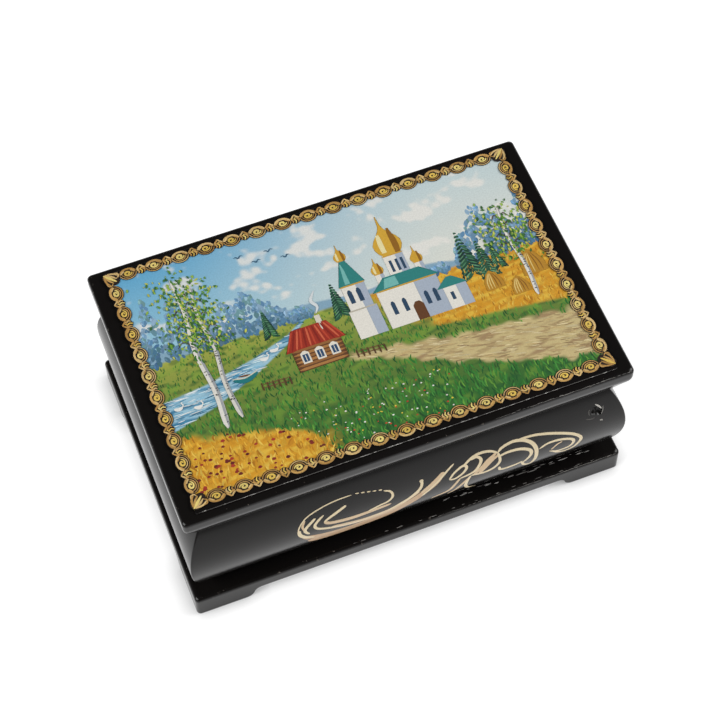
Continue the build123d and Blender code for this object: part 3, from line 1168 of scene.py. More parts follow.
    def woods(self) -> list[Strokes]:
        """Far blue woods on both sides: upright dabs, darker towards the ground.

        Returns:
            Two layers.
        """
        places = self.scatter(self.wood_dabs, (-68, 0, 68, 1))
        x = places[:, 0]
        along = [-68, -58, -46, -33, -20, -10, 32, 42, 52, 60, 68]
        top = np.interp(x, along, [16, 20, 13, 15, 7, 2, 2, 9, 18, 15, 22])
        top = top * (1 + 0.22 * ripple(x, 0 * x, 7, 21))
        kept = top > 2.5
        share = places[:, 1] ** 0.8
        spots = np.stack([x, self.horizon - 1 + top * share], axis=1)[kept]
        count = len(spots)
        deep = picked(self.rng, ("#33608c", "#3a6d84", "#44759c", "#2f5a6a"), count)
        lit = picked(self.rng, ("#86b0d0", "#6d9cc4", "#7facae", "#9bbcd6"), count)
        tones = deep + (lit - deep) * (0.15 + 0.85 * share[kept, None])
        angle = self.rng.normal(np.pi / 2, 0.5, count)
        size = self.rng.uniform(1.2, 2.8, count)
        base = dabs(spots, size, size * 0.62, angle, tones)
        some = self.rng.random(count) < 0.35
        bright = np.clip(tones[some] * 1.35 + 0.02, 0, 1)
        small = size[some]
        edge = dabs(spots[some] + (-0.4, 0.3), small * 0.5, small * 0.26, angle[some], bright)
        return [base, edge]

    def fields(self) -> list[Strokes]:
        """Grass, ripe rye and flowers, larger and taller towards the front.

        Returns:
            Four layers.
        """
        rng = self.rng
        spots = self.scatter(self.field_dabs, (-68, -42.5, 68, 6.5))
        x, y = spots.T
        water, sand, rye = self.cover(x, y)
        dry, ripe = (water < 0.1) & (sand < 0.35), rye > 0.5
        near = np.clip((self.horizon - y) / 50, 0, 1)
        size = (0.8 + 2.1 * near) * rng.uniform(0.6, 1.3, len(spots))
        angle = rng.normal(np.pi / 2, 0.28, len(spots))
        greens = ("#337f2e", "#28702c", "#46913a", "#6aa63c", "#1f5b28", "#3a8834")
        golds = ("#ecb436", "#d99a24", "#f4cc58", "#c07e1c", "#e3a62c", "#f0be40")
        layers = []
        for palette, here in ((greens, dry & ~ripe), (golds, dry & ripe)):
            tones = picked(rng, palette, int(here.sum()))
            long = size[here]
            layers.append(dabs(spots[here], long, 0.1 + long * 0.16, angle[here], tones, 0.08))
        petals = (
            ((-32, -41, 20, -24), 110, ("#f6f2e6", "#d83a2c", "#f2d24a", "#f6f2e6"), 0.4, False),
            ((-67, -42, -24, -24), 80, ("#8e2c22", "#b23a28", "#6f2320"), 0.8, True),
        )
        for spread, count, palette, least, in_rye in petals:
            heads = self.scatter(count, spread)
            _, sand, rye = self.cover(*heads.T)
            heads = heads[(sand < 0.1) & ((rye > 0.5) == in_rye)]
            bloom = rng.uniform(least, 1.8 * least, len(heads))
            tones = picked(rng, palette, len(heads))
            layers.append(dabs(heads, bloom, bloom * 0.8, 0 * bloom, tones, 0.15))
        return layers

    def water(self) -> list[Strokes]:
        """Level glints on the river and wheel marks on the track.

        Returns:
            Two layers.
        """
        rng = self.rng
        spots = self.scatter(self.water_dabs, (-68, -19, -14, 8))
        spots = spots[self.cover(*spots.T)[0] > 0.9]
        long = rng.uniform(1.2, 5.0, len(spots))
        blues = picked(rng, ("#d8edf4", "#8fc6e0", "#2f7397", "#f4f8f6", "#58a0c4"), len(spots))
        glints = dabs(spots, long, 0.12 + 0.06 * long, rng.normal(0, 0.06, len(spots)), blues)
        marks = self.scatter(self.track_dabs, (-6, -41, 68, -10))
        marks = marks[self.cover(*marks.T)[1] > 0.8]
        drag = rng.uniform(1.0, 4.5, len(marks))
        earth = picked(rng, ("#cbb27c", "#e3d2a2", "#b2966a", "#d8c592", "#c2a878"), len(marks))
        ruts = dabs(marks, drag, 0.14 + 0.1 * drag, rng.normal(-0.24, 0.1, len(marks)), earth)
        return [glints, ruts]

    def upright(self, shapes: Sequence[Shape]) -> Strokes:
        """Upright shapes that are alike on both sides of their middle line.

        Args:
            shapes: hex colour, middle x, and (height, half width) pairs from the bottom up.

        Returns:
            One vertical stroke per shape, with its width set by the pairs.
        """
        paths, widths = [], []
        for _, middle, outline in shapes:
            heights, halves = np.array(outline, float).T
            rise = np.linspace(heights[0], heights[-1], self.shape_rows)
            paths.append(np.stack([np.full(self.shape_rows, middle), rise], axis=1))
            widths.append(2 * np.interp(rise, heights, halves) + 0.02)
        colours = np.array([linear(colour) for colour, _, _ in shapes])
        return Strokes(np.stack(paths), np.stack(widths), colours)

    def onion(self, middle: float, foot: float, half: float, colour: str) -> list[Shape]:
        """An onion dome with its spire, lit on the left.

        Args:
            middle: x of its middle line.
            foot: y of its foot.
            half: its greatest half width.
            colour: its gold.

        Returns:
            Shapes for upright().
        """
        rise = (0, 0.25, 0.6, 1.0, 1.4, 1.8, 2.15, 2.5, 3.3)
        swell = (0.62, 0.82, 0.98, 1.0, 0.8, 0.46, 0.22, 0.1, 0.03)
        body = [(foot + half * r, half * s) for r, s in zip(rise, swell)]
        light = [(foot + half * r, half * 0.22 * s) for r, s in zip(rise[1:6], swell[1:6])]
        shade = [(foot + half * r, half * 0.3 * s) for r, s in zip(rise[:7], swell[:7])]
        lit, dim = middle - half * 0.4, middle + half * 0.45
        return [(colour, middle, body), ("#9c6a1c", dim, shade), ("#fbeeb4", lit, light)]

    def church(self) -> list[Strokes]:
        """A small white church, drawn about the foot of its nave.

        It has an apse, a bell tower, teal roofs, gilt domes and blue shade on the right.

        Returns:
            Layers from the back to the front.
        """
        white, shade, teal, mint, gilt = "#f7f3e8", "#b4c0d0", "#2f8a86", "#7cc4bd", "#d9a93e"
        glass, tower, apse = "#2c4a66", -12, 10
        walls = [
            (apse, 3.4, 0, 6.4),
            (0, 7.6, 0, 11),
            (0, 2.5, 13, 20),
            (-5, 1.05, 12, 15.6),
            (5, 1.05, 12, 15.6),
            (tower, 3.5, 0, 8),
            (tower, 2.9, 8, 15.4),
        ]
        block = [(white, x, [(low, half), (high, half)]) for x, half, low, high in walls]
        cool = [
            (shade, x + 0.62 * half, [(low, 0.38 * half), (high, 0.38 * half)])
            for x, half, low, high in walls
        ]
        roofs = [
            (teal, apse, [(6.2, 3.9), (8.4, 1.4), (9.0, 0.6)]),
            (teal, 0, [(10.8, 8.4), (14.2, 4.6)]),
            (teal, tower, [(15.2, 3.3), (22.5, 0.6)]),
            (mint, -3, [(11.2, 2.4), (13.8, 1.4)]),
            (mint, tower - 0.7, [(15.6, 0.9), (21.5, 0.12)]),
        ]
        domes = self.onion(0, 19.8, 3.5, "#e3b23c")
        for middle, foot in ((-5, 15.4), (5, 15.4), (tower, 22.2)):
            domes += self.onion(middle, foot, 1.5, "#dfad38")
        panes = [(glass, x, [(3.4, 0.5), (6.6, 0.5), (7.2, 0.2)]) for x in (-5, -2.2, 3.4, 5.6)]
        panes += [(glass, x, [(14.8, 0.32), (18.2, 0.32)]) for x in (-1.2, 0.3, 1.6)]
        panes += [(glass, tower + x, [(10, 0.55), (13.2, 0.55), (13.9, 0.2)]) for x in (-1.4, 0.8)]
        panes += [(glass, apse - 0.8, [(2.4, 0.4), (4.6, 0.4)])]
        panes += [("#6b4222", 0.6, [(0, 1.3), (4.2, 1.3), (5.2, 0.5)])]
        bands = (
            (0, 7.8, 10.7, gilt),
            (tower, 3.2, 15.1, gilt),
            (tower, 3.6, 8, "#c9c2b0"),
            (0, 2.7, 19.7, gilt),
        )
        trim = [(0.4, tone, [(x - half, y), (x + half, y)]) for x, half, y, tone in bands]
        groups = (block, cool, roofs, domes, panes)
        return [self.upright(shapes) for shapes in groups] + [lines(trim, 12, 1, 1)]

    def cottage(self) -> list[Strokes]:
        """A log cottage with a red roof, white window frames and a smoking chimney.

        Returns:
            Layers from the back to the front, drawn about its foot.
        """
        cream = "#f5efe0"
        base = [
            ("#e9e2d2", 3.4, [(11, 0.8), (16, 0.8)]),
            ("#6a4326", 0, [(0, 7.2), (7.4, 7.2)]),
            ("#a8321f", 0, [(6.9, 8.8), (13.6, 5.2)]),
        ]
        rows = [(0.7 + 1.2 * row, ("#b98248", "#a06c3a")[row % 2]) for row in range(6)]
        logs = [(0.8, tone, [(-7.2, level), (7.2, level)]) for level, tone in rows]
        reds = ("#c94a30", "#8f2418", "#dd6a48")
        tilts = [(-1 + column / 6, reds[column % 3]) for column in range(13)]
        shingles = [(0.55, tone, [(8.3 * tilt, 7.1), (5 * tilt, 13.4)]) for tilt, tone in tilts]
        windows = (-4, 0.2, 4.4)
        frames = [(cream, x, [(2.2, 1.25), (5.6, 1.25), (6.3, 0.3)]) for x in windows]
        panes = [("#2f4f74", x, [(2.7, 0.8), (5.2, 0.8)]) for x in windows]
        bars = [(0.22, cream, [(x, 2.7), (x, 5.2)]) for x in windows]
        smoke = [(1.0, "#e6ecee", [(3.4, 16.4), (4.6, 18.6), (3.6, 21), (5.6, 24)])]
        layers = [self.upright(base), lines(logs, 10, 1, 1), lines(shingles, 10, 0.8, 0.8)]
        layers += [self.upright(frames), self.upright(panes), lines(bars, 6, 1, 1)]
        return layers + [lines(smoke, 16, 0.3, 0.2)]

    def birches(self) -> list[Strokes]:
        """Slim white birches by the water, with black bark marks and hanging leaves.

        Returns:
            Layers from the back to the front.
        """
        rng = self.rng
        trunks = [
            (1.9, "#efece2", [(-51, -22), (-50.2, -8), (-51.4, 8), (-50, 22), (-50.6, 37)]),
            (1.5, "#e6e3d8", [(-45.5, -20), (-46.4, -6), (-45.2, 8), (-46.4, 20), (-45.4, 32)]),
            (1.3, "#f2efe6", [(58, -12), (58.8, 0), (57.8, 12), (58.8, 25)]),
        ]
        shaded = [(w * 0.4, "#a9adb0", [(x + w * 0.3, y) for x, y in p]) for w, _, p in trunks]
        boughs, bark, leaves = [], [], []
        for width, _, points in trunks:
            line = spline(points, 120)
            for share in (0.55, 0.65, 0.75, 0.85):
                x, y = line[int(share * 119)]
                for reach in (7 * share - 9, 9 - 7 * share):
                    knots = [(x, y), (x + reach * 0.5, y + 2.4), (x + reach, y + 0.4)]
                    boughs.append((0.4, "#5b4a3c", knots))
            jitter = (self.bark_marks, 2)
            bark.append(line[rng.integers(5, 110, self.bark_marks)] + rng.normal(0, width * 0.22, jitter))
            drop = rng.normal(0, 1, (self.leaves, 2)) * (4.6, 2.6) + (0, -0.6)
            leaves.append(line[rng.integers(60, 120, self.leaves)] + drop)
        marks = np.concatenate(bark)
        count = len(marks)
        dark = picked(rng, ("#2a2724", "#45403a"), count)
        turn = rng.normal(0, 0.3, count)
        dashes = dabs(marks, rng.uniform(0.5, 1.2, count), np.full(count, 0.32), turn, dark)
        spots = np.concatenate(leaves)
        room = (spots > np.array(self.low) + 1) & (spots < np.array(self.high) - 1)
        spots = spots[room.all(axis=1)]
        tones = picked(rng, ("#6fa23a", "#9cc04a", "#4c8432", "#c8cf5a", "#3c6f34"), len(spots))
        size = rng.uniform(0.7, 1.6, len(spots))
        sprays = dabs(spots, size, size * 0.5, rng.normal(-1.45, 0.45, len(spots)), tones)
        stems = [lines(boughs, 10, 0.8, 0.2), lines(trunks, 30, 1.2, 0.3), lines(shaded, 30, 1, 0.3)]
        return stems + [dashes, sprays]

    def firs(self) -> list[Strokes]:
        """Dark firs beside the church: pairs of drooping boughs, shorter towards the tip.

        Returns:
            Two layers.
        """
        boughs = []
        share = np.linspace(0.03, 1, 13)
        for middle, foot, height in ((42, 3, 17), (47, 1.5, 13), (-3, 4, 12), (-27, 5, 9), (51, 3, 9)):
            for turn in (-1, 1):
                reach = height * 0.24 * (1 - share) + 0.25
                spots = [middle + turn * reach * 0.5, foot + height * share - 0.2 * reach]
                boughs.append(np.stack([*spots, reach * 1.25 + 0.5, 0 * reach - 0.6 * turn], axis=1))
        spots, long, lean = np.split(np.concatenate(boughs), [2, 3], axis=1)
        long, lean = long[:, 0], lean[:, 0]
        deep = picked(self.rng, ("#1f4d3a", "#2c5f45", "#173e34"), len(spots))
        lit = picked(self.rng, ("#4f8a63", "#6ba37a"), len(spots))
        return [
            dabs(spots, long, 0.4 + 0.3 * long, lean, deep),
            dabs(spots + (-0.2, 0.35), long * 0.6, 0.16 + 0.06 * long, lean, lit),
        ]

    def details(self) -> list[Strokes]:
        """Haystacks, rail fences, a moored boat, swans and far birds.

        Returns:
            Layers from the back to the front.
        """
        stacks, sheaves, rails, swans, birds = [], [], [], [], []
        for x, y, half in ((46.5, -5, 3.2), (61, -4, 4.2), (54, -9.5, 3.0)):
            rise = [(0, 1), (1, 0.95), (1.9, 0.5), (2.3, 0.03)]
            stacks.append(("#c48f2c", x, [(y + half * r, half * w) for r, w in rise]))
            for lean in (-0.7, -0.4, -0.1, 0.25, 0.6):
                stems = [(lean, 0.06), (lean * 0.9, 1), (lean * 0.3, 2)]
                tone = "#f2d787" if lean < 0 else "#8f5f1c"
                sheaves.append((0.35, tone, [(x + half * a, y + half * b) for a, b in stems]))
        for x, y in ((-36, -13.5), (-4, -13)):
            rails += [(0.35, "#7c5a3a", [(x, y + h), (x + 9, y + h - 0.5)]) for h in (1.2, 2.4)]
            posts = [(x + 1.8 * i, y - 0.2 * i) for i in range(6)]
            rails += [(0.5, "#5c4028", [(a, b), (a, b + 3.2)]) for a, b in posts]
        hull = [
            (2.2, "#1f7f84", [(-44, -6.6), (-40, -7.6), (-35.5, -6.2)]),
            (0.5, "#e8e0c8", [(-44.3, -5.9), (-40, -6.8), (-35.2, -5.5)]),
            (0.6, "#7a4a26", [(-42, -5.8), (-38, -6.2)]),
        ]
        neck = ((1.1, 0.2), (1.7, 1.0), (1.3, 1.8), (1.9, 2.1))
        for x, y in ((-32, -2.6), (-28, -0.6), (-57, -11.5), (-63, -10)):
            swans.append((1.3, "#fbfaf4", [(x - 1.5, y + 0.4), (x, y - 0.1), (x + 1.4, y + 0.3)]))
            swans.append((0.4, "#fbfaf4", [(x + a, y + b) for a, b in neck]))
        wings = ((-1.6, 0.5), (-0.7, 0.8), (0, 0), (0.8, 0.9), (1.7, 0.4))
        for x, y in ((-22, 33), (-17, 35.5), (-27, 36.5), (-12.5, 31.5)):
            birds.append((0.35, "#2f5f80", [(x + a, y + b) for a, b in wings]))
        layers = [self.upright(stacks), lines(sheaves, 12), lines(rails, 8, 1, 0.8)]
        layers += [lines(hull, 16, 0.3, 0.3), lines(swans, 14, 0.5, 0.4), lines(birds, 12, 0.3, 0.3)]
        return layers

    def paint(self, lid: Lid) -> None:
        """Lays the underpainting and every layer of strokes on the lid's panel.

        Args:
            lid: the lid that carries the panel.
        """
        groups = {
            "picture_far": self.woods() + self.firs(),
            "picture_fields": self.fields() + self.water(),
            "picture_village": placed(self.church(), self.church_place, self.church_scale)
            + placed(self.cottage(), self.cottage_place, self.cottage_scale)
            + self.details(),
            "picture_birches": self.birches(),
        }
        add_piece("picture_ground", self.ground(lid.on_panel), (OIL_PAINT,), Body.LID)
        lift = self.lift + LAYER_STEP
        for name, layers in groups.items():
            strokes = ribbons(layers, lid.on_panel, lift, self.crest)
            add_piece(name, strokes, (OIL_PAINT,), Body.LID)
            lift += LAYER_STEP * len(layers)


class Tone(Enum):
    """Paints of the gilt border, each with the colours that its strokes are drawn from."""

    BED = ("#24160e",)
    OLD_GOLD = ("#e6c484", "#d4a862", "#bf9350")
    LIGHT_GOLD = ("#f8df84", "#f0cc62")


Motif = dict[Tone, list[Stroke]]


@dataclass
class Border:
    """The gilt scroll border: rosettes joined by leaf knots, with a leaf fan in each corner."""

    middle: tuple[float, float] = (0.0, 0.68)
    half: tuple[float, float] = (67.95, 43.38)
    long_count: int = 15
    long_pitch: float = 8.87
    short_count: int = 10
    short_pitch: float = 8.31
    points: int = 24
    outline: float = 0.42  # dark paint that shows round each gold stroke
    uneven: tuple[float, float] = (0.88, 1.12)  # least and greatest share of a stroke's set width
    lift: float = 0.26
    dark_crest: float = 0.002
    gold_crest: float = 0.02
    rng: np.random.Generator = field(default_factory=lambda: np.random.default_rng(5))

    def drawn(self, rows: Sequence[tuple[float, Knots]], tip: float) -> list[Stroke]:
        """Strokes through given points, from a width and the points of each."""
        return [(width, spline(knots, self.points), tip) for width, knots in rows]

    def rosette(self) -> Motif:
        """A rosette: two thin hoods over a light scroll, a broad base and a lobe on each side.

        The scroll winds in by a turn and a third, its radius falling evenly with the angle. Hoods
        and base are parts of ellipses, each set by its width, height, half axes and span in degrees.

        Returns:
            Strokes by paint, with x along the side and y inwards from its middle line.
        """
        turn = np.radians(np.linspace(190, -290, self.points))
        radius = np.linspace(1.2, 0.25, self.points)
        scroll = np.stack([1.15 * radius * np.cos(turn), 0.85 * radius * np.sin(turn) - 0.2], axis=1)
        arcs = (
            (0.3, -0.35, (2.8, 2.35), (6, 174)),
            (0.28, -0.35, (2.0, 1.7), (4, 176)),
            (0.7, -0.05, (2.65, 1.85), (188, 352)),
        )
        hoods = []
        for width, height, (along, across), span in arcs:
            angle = np.radians(np.linspace(*span, self.points))
            path = np.stack([along * np.cos(angle), height + across * np.sin(angle)], axis=1)
            hoods.append((width, path, 0.75))
        lobes = [(0.6, [(s * 2.4, -0.2), (s * 1.9, -0.75), (s * 1.0, -1.35)]) for s in (-1, 1)]
        return {
            Tone.BED: self.drawn([(4.3, [(-2.95, -0.1), (2.95, -0.1)])], 0.3),
            Tone.OLD_GOLD: hoods + self.drawn(lobes, 0.55),
            Tone.LIGHT_GOLD: [(0.72, scroll, 0.5)],
        }

    def knot(self) -> Motif:
        """The leaf knot between two rosettes: three wavy tendrils that stand inwards over a V.

        Returns:
            Strokes by paint, with x along the side and y inwards from its middle line.
        """
        tendrils = [
            (0.45, [(x - 0.3, -1.0), (x + 0.2, -0.35), (x - 0.2, 0.45), (x + 0.25, tip)])
            for x, tip in ((-0.95, 1.1), (0.95, 1.1), (0, 1.5))
        ]
        fork = [(0.55, [(s * 1.5, -0.55), (s * 0.7, -1.2), (0, -2.0)]) for s in (-1, 1)]
        fork.append((0.5, [(-1.6, 0.1), (-0.4, -0.6), (1.5, -0.1)]))
        return {
            Tone.BED: self.drawn([(3.4, [(-1.6, -0.1), (1.6, -0.1)])], 0.3),
            Tone.OLD_GOLD: self.drawn(tendrils[:2] + fork, 0.55),
            Tone.LIGHT_GOLD: self.drawn(tendrils[2:], 0.55),
        }

    def corner(self) -> Motif:
        """The corner's leaf: a fan from the outer corner inwards, with a curl on each side.

        Returns:
            Strokes by paint, x and y inwards along the two sides from the corner.
        """
        half_fan = [
            (0.7, [(-1.7, -1.9), (0.3, -0.9), (1.9, 0.5)]),
            (0.6, [(-1.5, -2.0), (1.0, -1.7), (2.6, -0.6)]),
            (0.5, [(1.3, -1.8), (2.5, -1.4), (2.7, -0.4), (1.9, 0.2)]),
        ]
        fan = half_fan + [(width, [(y, x) for x, y in knots]) for width, knots in half_fan]
        return {
            Tone.BED: self.drawn([(4.6, [(-2.1, -2.1), (2.2, 2.2)])], 0.4),
            Tone.OLD_GOLD: self.drawn(fan, 0.4),
            Tone.LIGHT_GOLD: self.drawn([(0.85, [(-2.0, -2.0), (-0.4, -0.4), (1.6, 1.6)])], 0.4),
        }

    def arrays(self, strokes: Sequence[Stroke]) -> tuple[Array, Array]:
        """Paths and widths of strokes as whole arrays."""
        widths = [width * swelling(self.points, tip, tip) for width, _, tip in strokes]
        return np.stack([path for _, path, _ in strokes]), np.stack(widths)

    def spread(self, tone: Tone) -> tuple[Array, Array]:
        """All strokes of one paint: rosettes and knots along four sides, and four corners.

        A side's local x runs along it with the inside on its left, so a motif is turned by the
        side's heading and moved to its place. Knots stand half way between rosettes.

        Args:
            tone: the paint.

        Returns:
            Paths and widths.
        """
        paths, widths = [], []
        centre, half = np.array(self.middle), np.array(self.half)
        sides = ((self.long_count, self.long_pitch), (self.short_count, self.short_pitch)) * 2
        for quarter, (count, pitch) in enumerate(sides):
            turn = quarter * math.pi / 2
            ahead = np.array([math.cos(turn), math.sin(turn)])
            inward = np.array([-ahead[1], ahead[0]])
            for motif, number in ((self.rosette(), count), (self.knot(), count - 1)):
                path, width = self.arrays(motif[tone])
                along = (np.arange(number) - (number - 1) / 2) * pitch
                local = path[None] + np.stack([along, 0 * along], axis=1)[:, None, None]
                turned = local[..., :1] * ahead + local[..., 1:] * inward + centre - inward * half
                paths.append(turned.reshape(-1, self.points, 2))
                widths.append(np.tile(width, (number, 1)))
        path, width = self.arrays(self.corner()[tone])
        for sign in ((1, 1), (1, -1), (-1, 1), (-1, -1)):
            paths.append(path * sign + centre - np.array(sign) * half)
            widths.append(width)
        return np.concatenate(paths), np.concatenate(widths)

    def gild(self, lid: Lid) -> None:
        """Lays the dark beds and outlines, and the gold on top of them.

        Args:
            lid: the lid that carries the panel.
        """
        dark = np.array(linear(Tone.BED.value[0]))
        paths, widths = self.spread(Tone.BED)
        under, gold = [Strokes(paths, widths, np.tile(dark, (len(paths), 1)))], []
        for tone in (Tone.OLD_GOLD, Tone.LIGHT_GOLD):
            paths, widths = self.spread(tone)
            widths = widths * self.rng.uniform(*self.uneven, (len(widths), 1))
            gold.append(Strokes(paths, widths, picked(self.rng, tone.value, len(paths), 0.12)))
            under.append(Strokes(paths, widths + self.outline, np.tile(dark, (len(paths), 1))))
        beds = ribbons(under, lid.on_panel, self.lift, self.dark_crest)
        add_piece("border_outline", beds, (OIL_PAINT,), Body.LID)
        leaf = ribbons(gold, lid.on_panel, self.lift + len(under) * LAYER_STEP, self.gold_crest)
        add_piece("border_gilding", leaf, (GILT_PAINT,), Body.LID)


PALE, TAN, SAND = "#f0dcb2", "#cda67a", "#e0c196"


@dataclass
class Flourish:
    """The brushed scroll on the front wall, in tan gold: x along the wall, height up its curve."""

    points: int = 56
    lift: float = 0.02
    crest: float = 0.03
    dash_start: tuple[float, float] = (-10, 31.1)
    dash_step: tuple[float, float] = (-1.9, 0.5)
    dash_count: int = 5
    tip: Brushwork = ((1.3, PALE, ((3.3, 28.1), (3.2, 28.9), (3, 29.6))),)
    sweeps: Brushwork = (
        (3.4, TAN, ((-36, 16.2), (-31.4, 13.8), (-25.4, 12.2), (-17.4, 12), (-9.4, 13.7),
                    (-2.4, 17.3), (3.6, 20.6))),
        (0.6, SAND, ((-34.4, 15.2), (-28.4, 13.1), (-20.4, 12.2), (-12.4, 13.4), (-5.4, 15.9))),
        (3.4, TAN, ((-37.8, 20.2), (-33.8, 17.8), (-26.4, 15.4), (-17.4, 14.6), (-8.4, 15.9),
                    (-1.4, 18.8), (3.6, 22), (8.1, 25.2), (11, 29.2))),
        (2.4, SAND, ((-28.4, 20.8), (-23.4, 19.2), (-16.4, 17.6), (-8.4, 18), (-2.4, 21), (2.6, 23.7))),
    )
    scrolls: Brushwork = (
        (0.9, PALE, ((-15.4, 22.8), (-11.4, 23.8), (-8.4, 24.5), (-6.8, 26.5), (-7.4, 29.1), (-9.6, 30.5))),
        (0.55, PALE, ((-19.9, 33.3), (-21.9, 33.4), (-26.4, 33.2), (-30.9, 32.3), (-35.4, 30.6),
                      (-38, 27.8), (-39, 24.8), (-38.6, 22.3), (-36.9, 20.3))),
        (1.4, PALE, ((-38.8, 25.3), (-38.4, 22.3), (-36.4, 19.6), (-33.4, 17.4))),
        (1.2, PALE, ((-22.4, 29.8), (-25.4, 28.2), (-28.4, 26.6), (-30.2, 25.4))),
        (1.75, SAND, ((-30.3, 25.5), (-28.4, 23.8), (-23.9, 22.6), (-19.4, 22.1), (-13.4, 22.2),
                      (-7.4, 22.5))),
        (1.2, PALE, ((-30, 29), (-32.2, 27), (-33.4, 25), (-32.4, 22.8), (-28.4, 20.6), (-22.4, 18.6),
                     (-15.9, 17.6), (-9.4, 18.1))),
        (1.15, PALE, ((-32.9, 28.8), (-35, 26.8), (-36.4, 25.2), (-36.7, 23.6), (-35.4, 21.3))),
        (0.85, SAND, ((-36.4, 29.4), (-37.4, 26.8), (-37, 24.3))),
        (1.3, PALE, ((-8.9, 18), (-3.4, 20.5), (0.1, 22.8), (2.5, 25.2), (3.3, 27.5), (3.1, 29.2))),
        (1.0, PALE, ((3.1, 20.2), (8.1, 25.2), (12.1, 29.4), (14.6, 31.6))),
        (2.3, SAND, ((3, 22.2), (7.8, 26), (11, 29.4))),
        (1.05, PALE, ((12.6, 24.4), (14.2, 27), (17, 29), (18.4, 28.8), (18.6, 27.3), (17.2, 25.4),
                      (14.6, 24), (12.6, 24.4))),
        (1.15, PALE, ((17.2, 28.6), (20.1, 31), (22.6, 32), (25.2, 32), (27.6, 31.2), (29.6, 29.6))),
        (1.1, PALE, ((29.6, 29.6), (30.2, 27), (30, 24.4), (27.8, 22.2), (24.6, 21.6), (20.1, 22.6))),
        (1.15, PALE, ((20.1, 30.6), (22.4, 31), (23.7, 29.5), (23.4, 27.4), (22, 25), (20, 23.7),
                      (16.1, 23))),
        (1.6, SAND, ((21.1, 22.4), (24.1, 25.2), (26.2, 27.6), (29.2, 29.8))),
        (1.5, SAND, ((22.6, 21.4), (25.2, 24.6), (28, 27.4), (30, 28.4))),
        (1.2, SAND, ((16.4, 23.2), (14.6, 20), (13, 17.4), (11, 16.2), (6.6, 15.2))),
        (1.2, SAND, ((19.6, 21.6), (17.2, 18.4), (15, 15.2), (12.6, 13.4))),
        (1.15, PALE, ((20.1, 22.6), (19, 19.6), (18.7, 16), (20.2, 12), (23.1, 10))),
        (1.4, PALE, ((29.6, 29.4), (30.8, 31), (33.5, 32), (36, 32.1), (39, 31), (41.4, 28.8), (42.8, 25.6),
                     (43.2, 22), (42.9, 18.4), (41.6, 15.6), (39.4, 16.4), (38, 19.6))),
        (1.3, PALE, ((30, 27.6), (32.6, 28.2), (36, 28), (38.8, 27), (41, 25), (41.2, 22.6), (40, 20.4),
                     (38.4, 18.8))),
        (1.15, PALE, ((30, 21.8), (30.6, 19.6), (33, 19), (36, 19.2), (38.5, 19.8))),
        (1.2, PALE, ((36.6, 32.2), (40, 32), (43.5, 31.5), (48.6, 29.8), (54, 27.2), (57.2, 24.8), (59, 22),
                     (58.4, 19.4), (56.8, 17), (54.4, 16), (51.5, 17), (48.8, 19.6))),
        (1.15, PALE, ((44, 24), (46.6, 25.4), (49.6, 25.6), (53, 24.7), (55.8, 23), (56.4, 21), (55.4, 19),
                      (53, 18.2), (50.4, 18.6), (47.8, 20.4))),
        (0.75, SAND, ((48.4, 21), (50.4, 23), (52.2, 23.8))),
    )

    def paint(self, carcass: Carcass) -> None:
        """Lays the broad sweeps, the finer scrolls, and a row of dashes with a round tip.

        Args:
            carcass: the box whose front wall takes the paint.
        """
        (x, y), (run, rise) = self.dash_start, self.dash_step
        starts = [(x + run * i, y + rise * i) for i in range(self.dash_count)]
        dashes = [(0.5, PALE, ((a, b), (a - 1.2, b + 0.3))) for a, b in starts]
        layers = [
            lines(self.sweeps, self.points, 0.7, 0.35),
            lines(self.scrolls, self.points, 0.75, 0.65),
            lines([*dashes, *self.tip], 8, 0.7, 0.7),
        ]
        strokes = ribbons(layers, carcass.on_front, self.lift, self.crest)
        add_piece("front_flourish", strokes, (SCROLL_PAINT,), Body.BOX)


@dataclass(frozen=True)
class ScuffAndHighlightRow:
    """A row of pale dashes along the plinth's ledge, partly scuffs and partly painted highlights."""

    count: int
    span: tuple[float, float]
    y: float
    colours: tuple[str, ...]
    length: tuple[float, float]
    width: tuple[float, float]


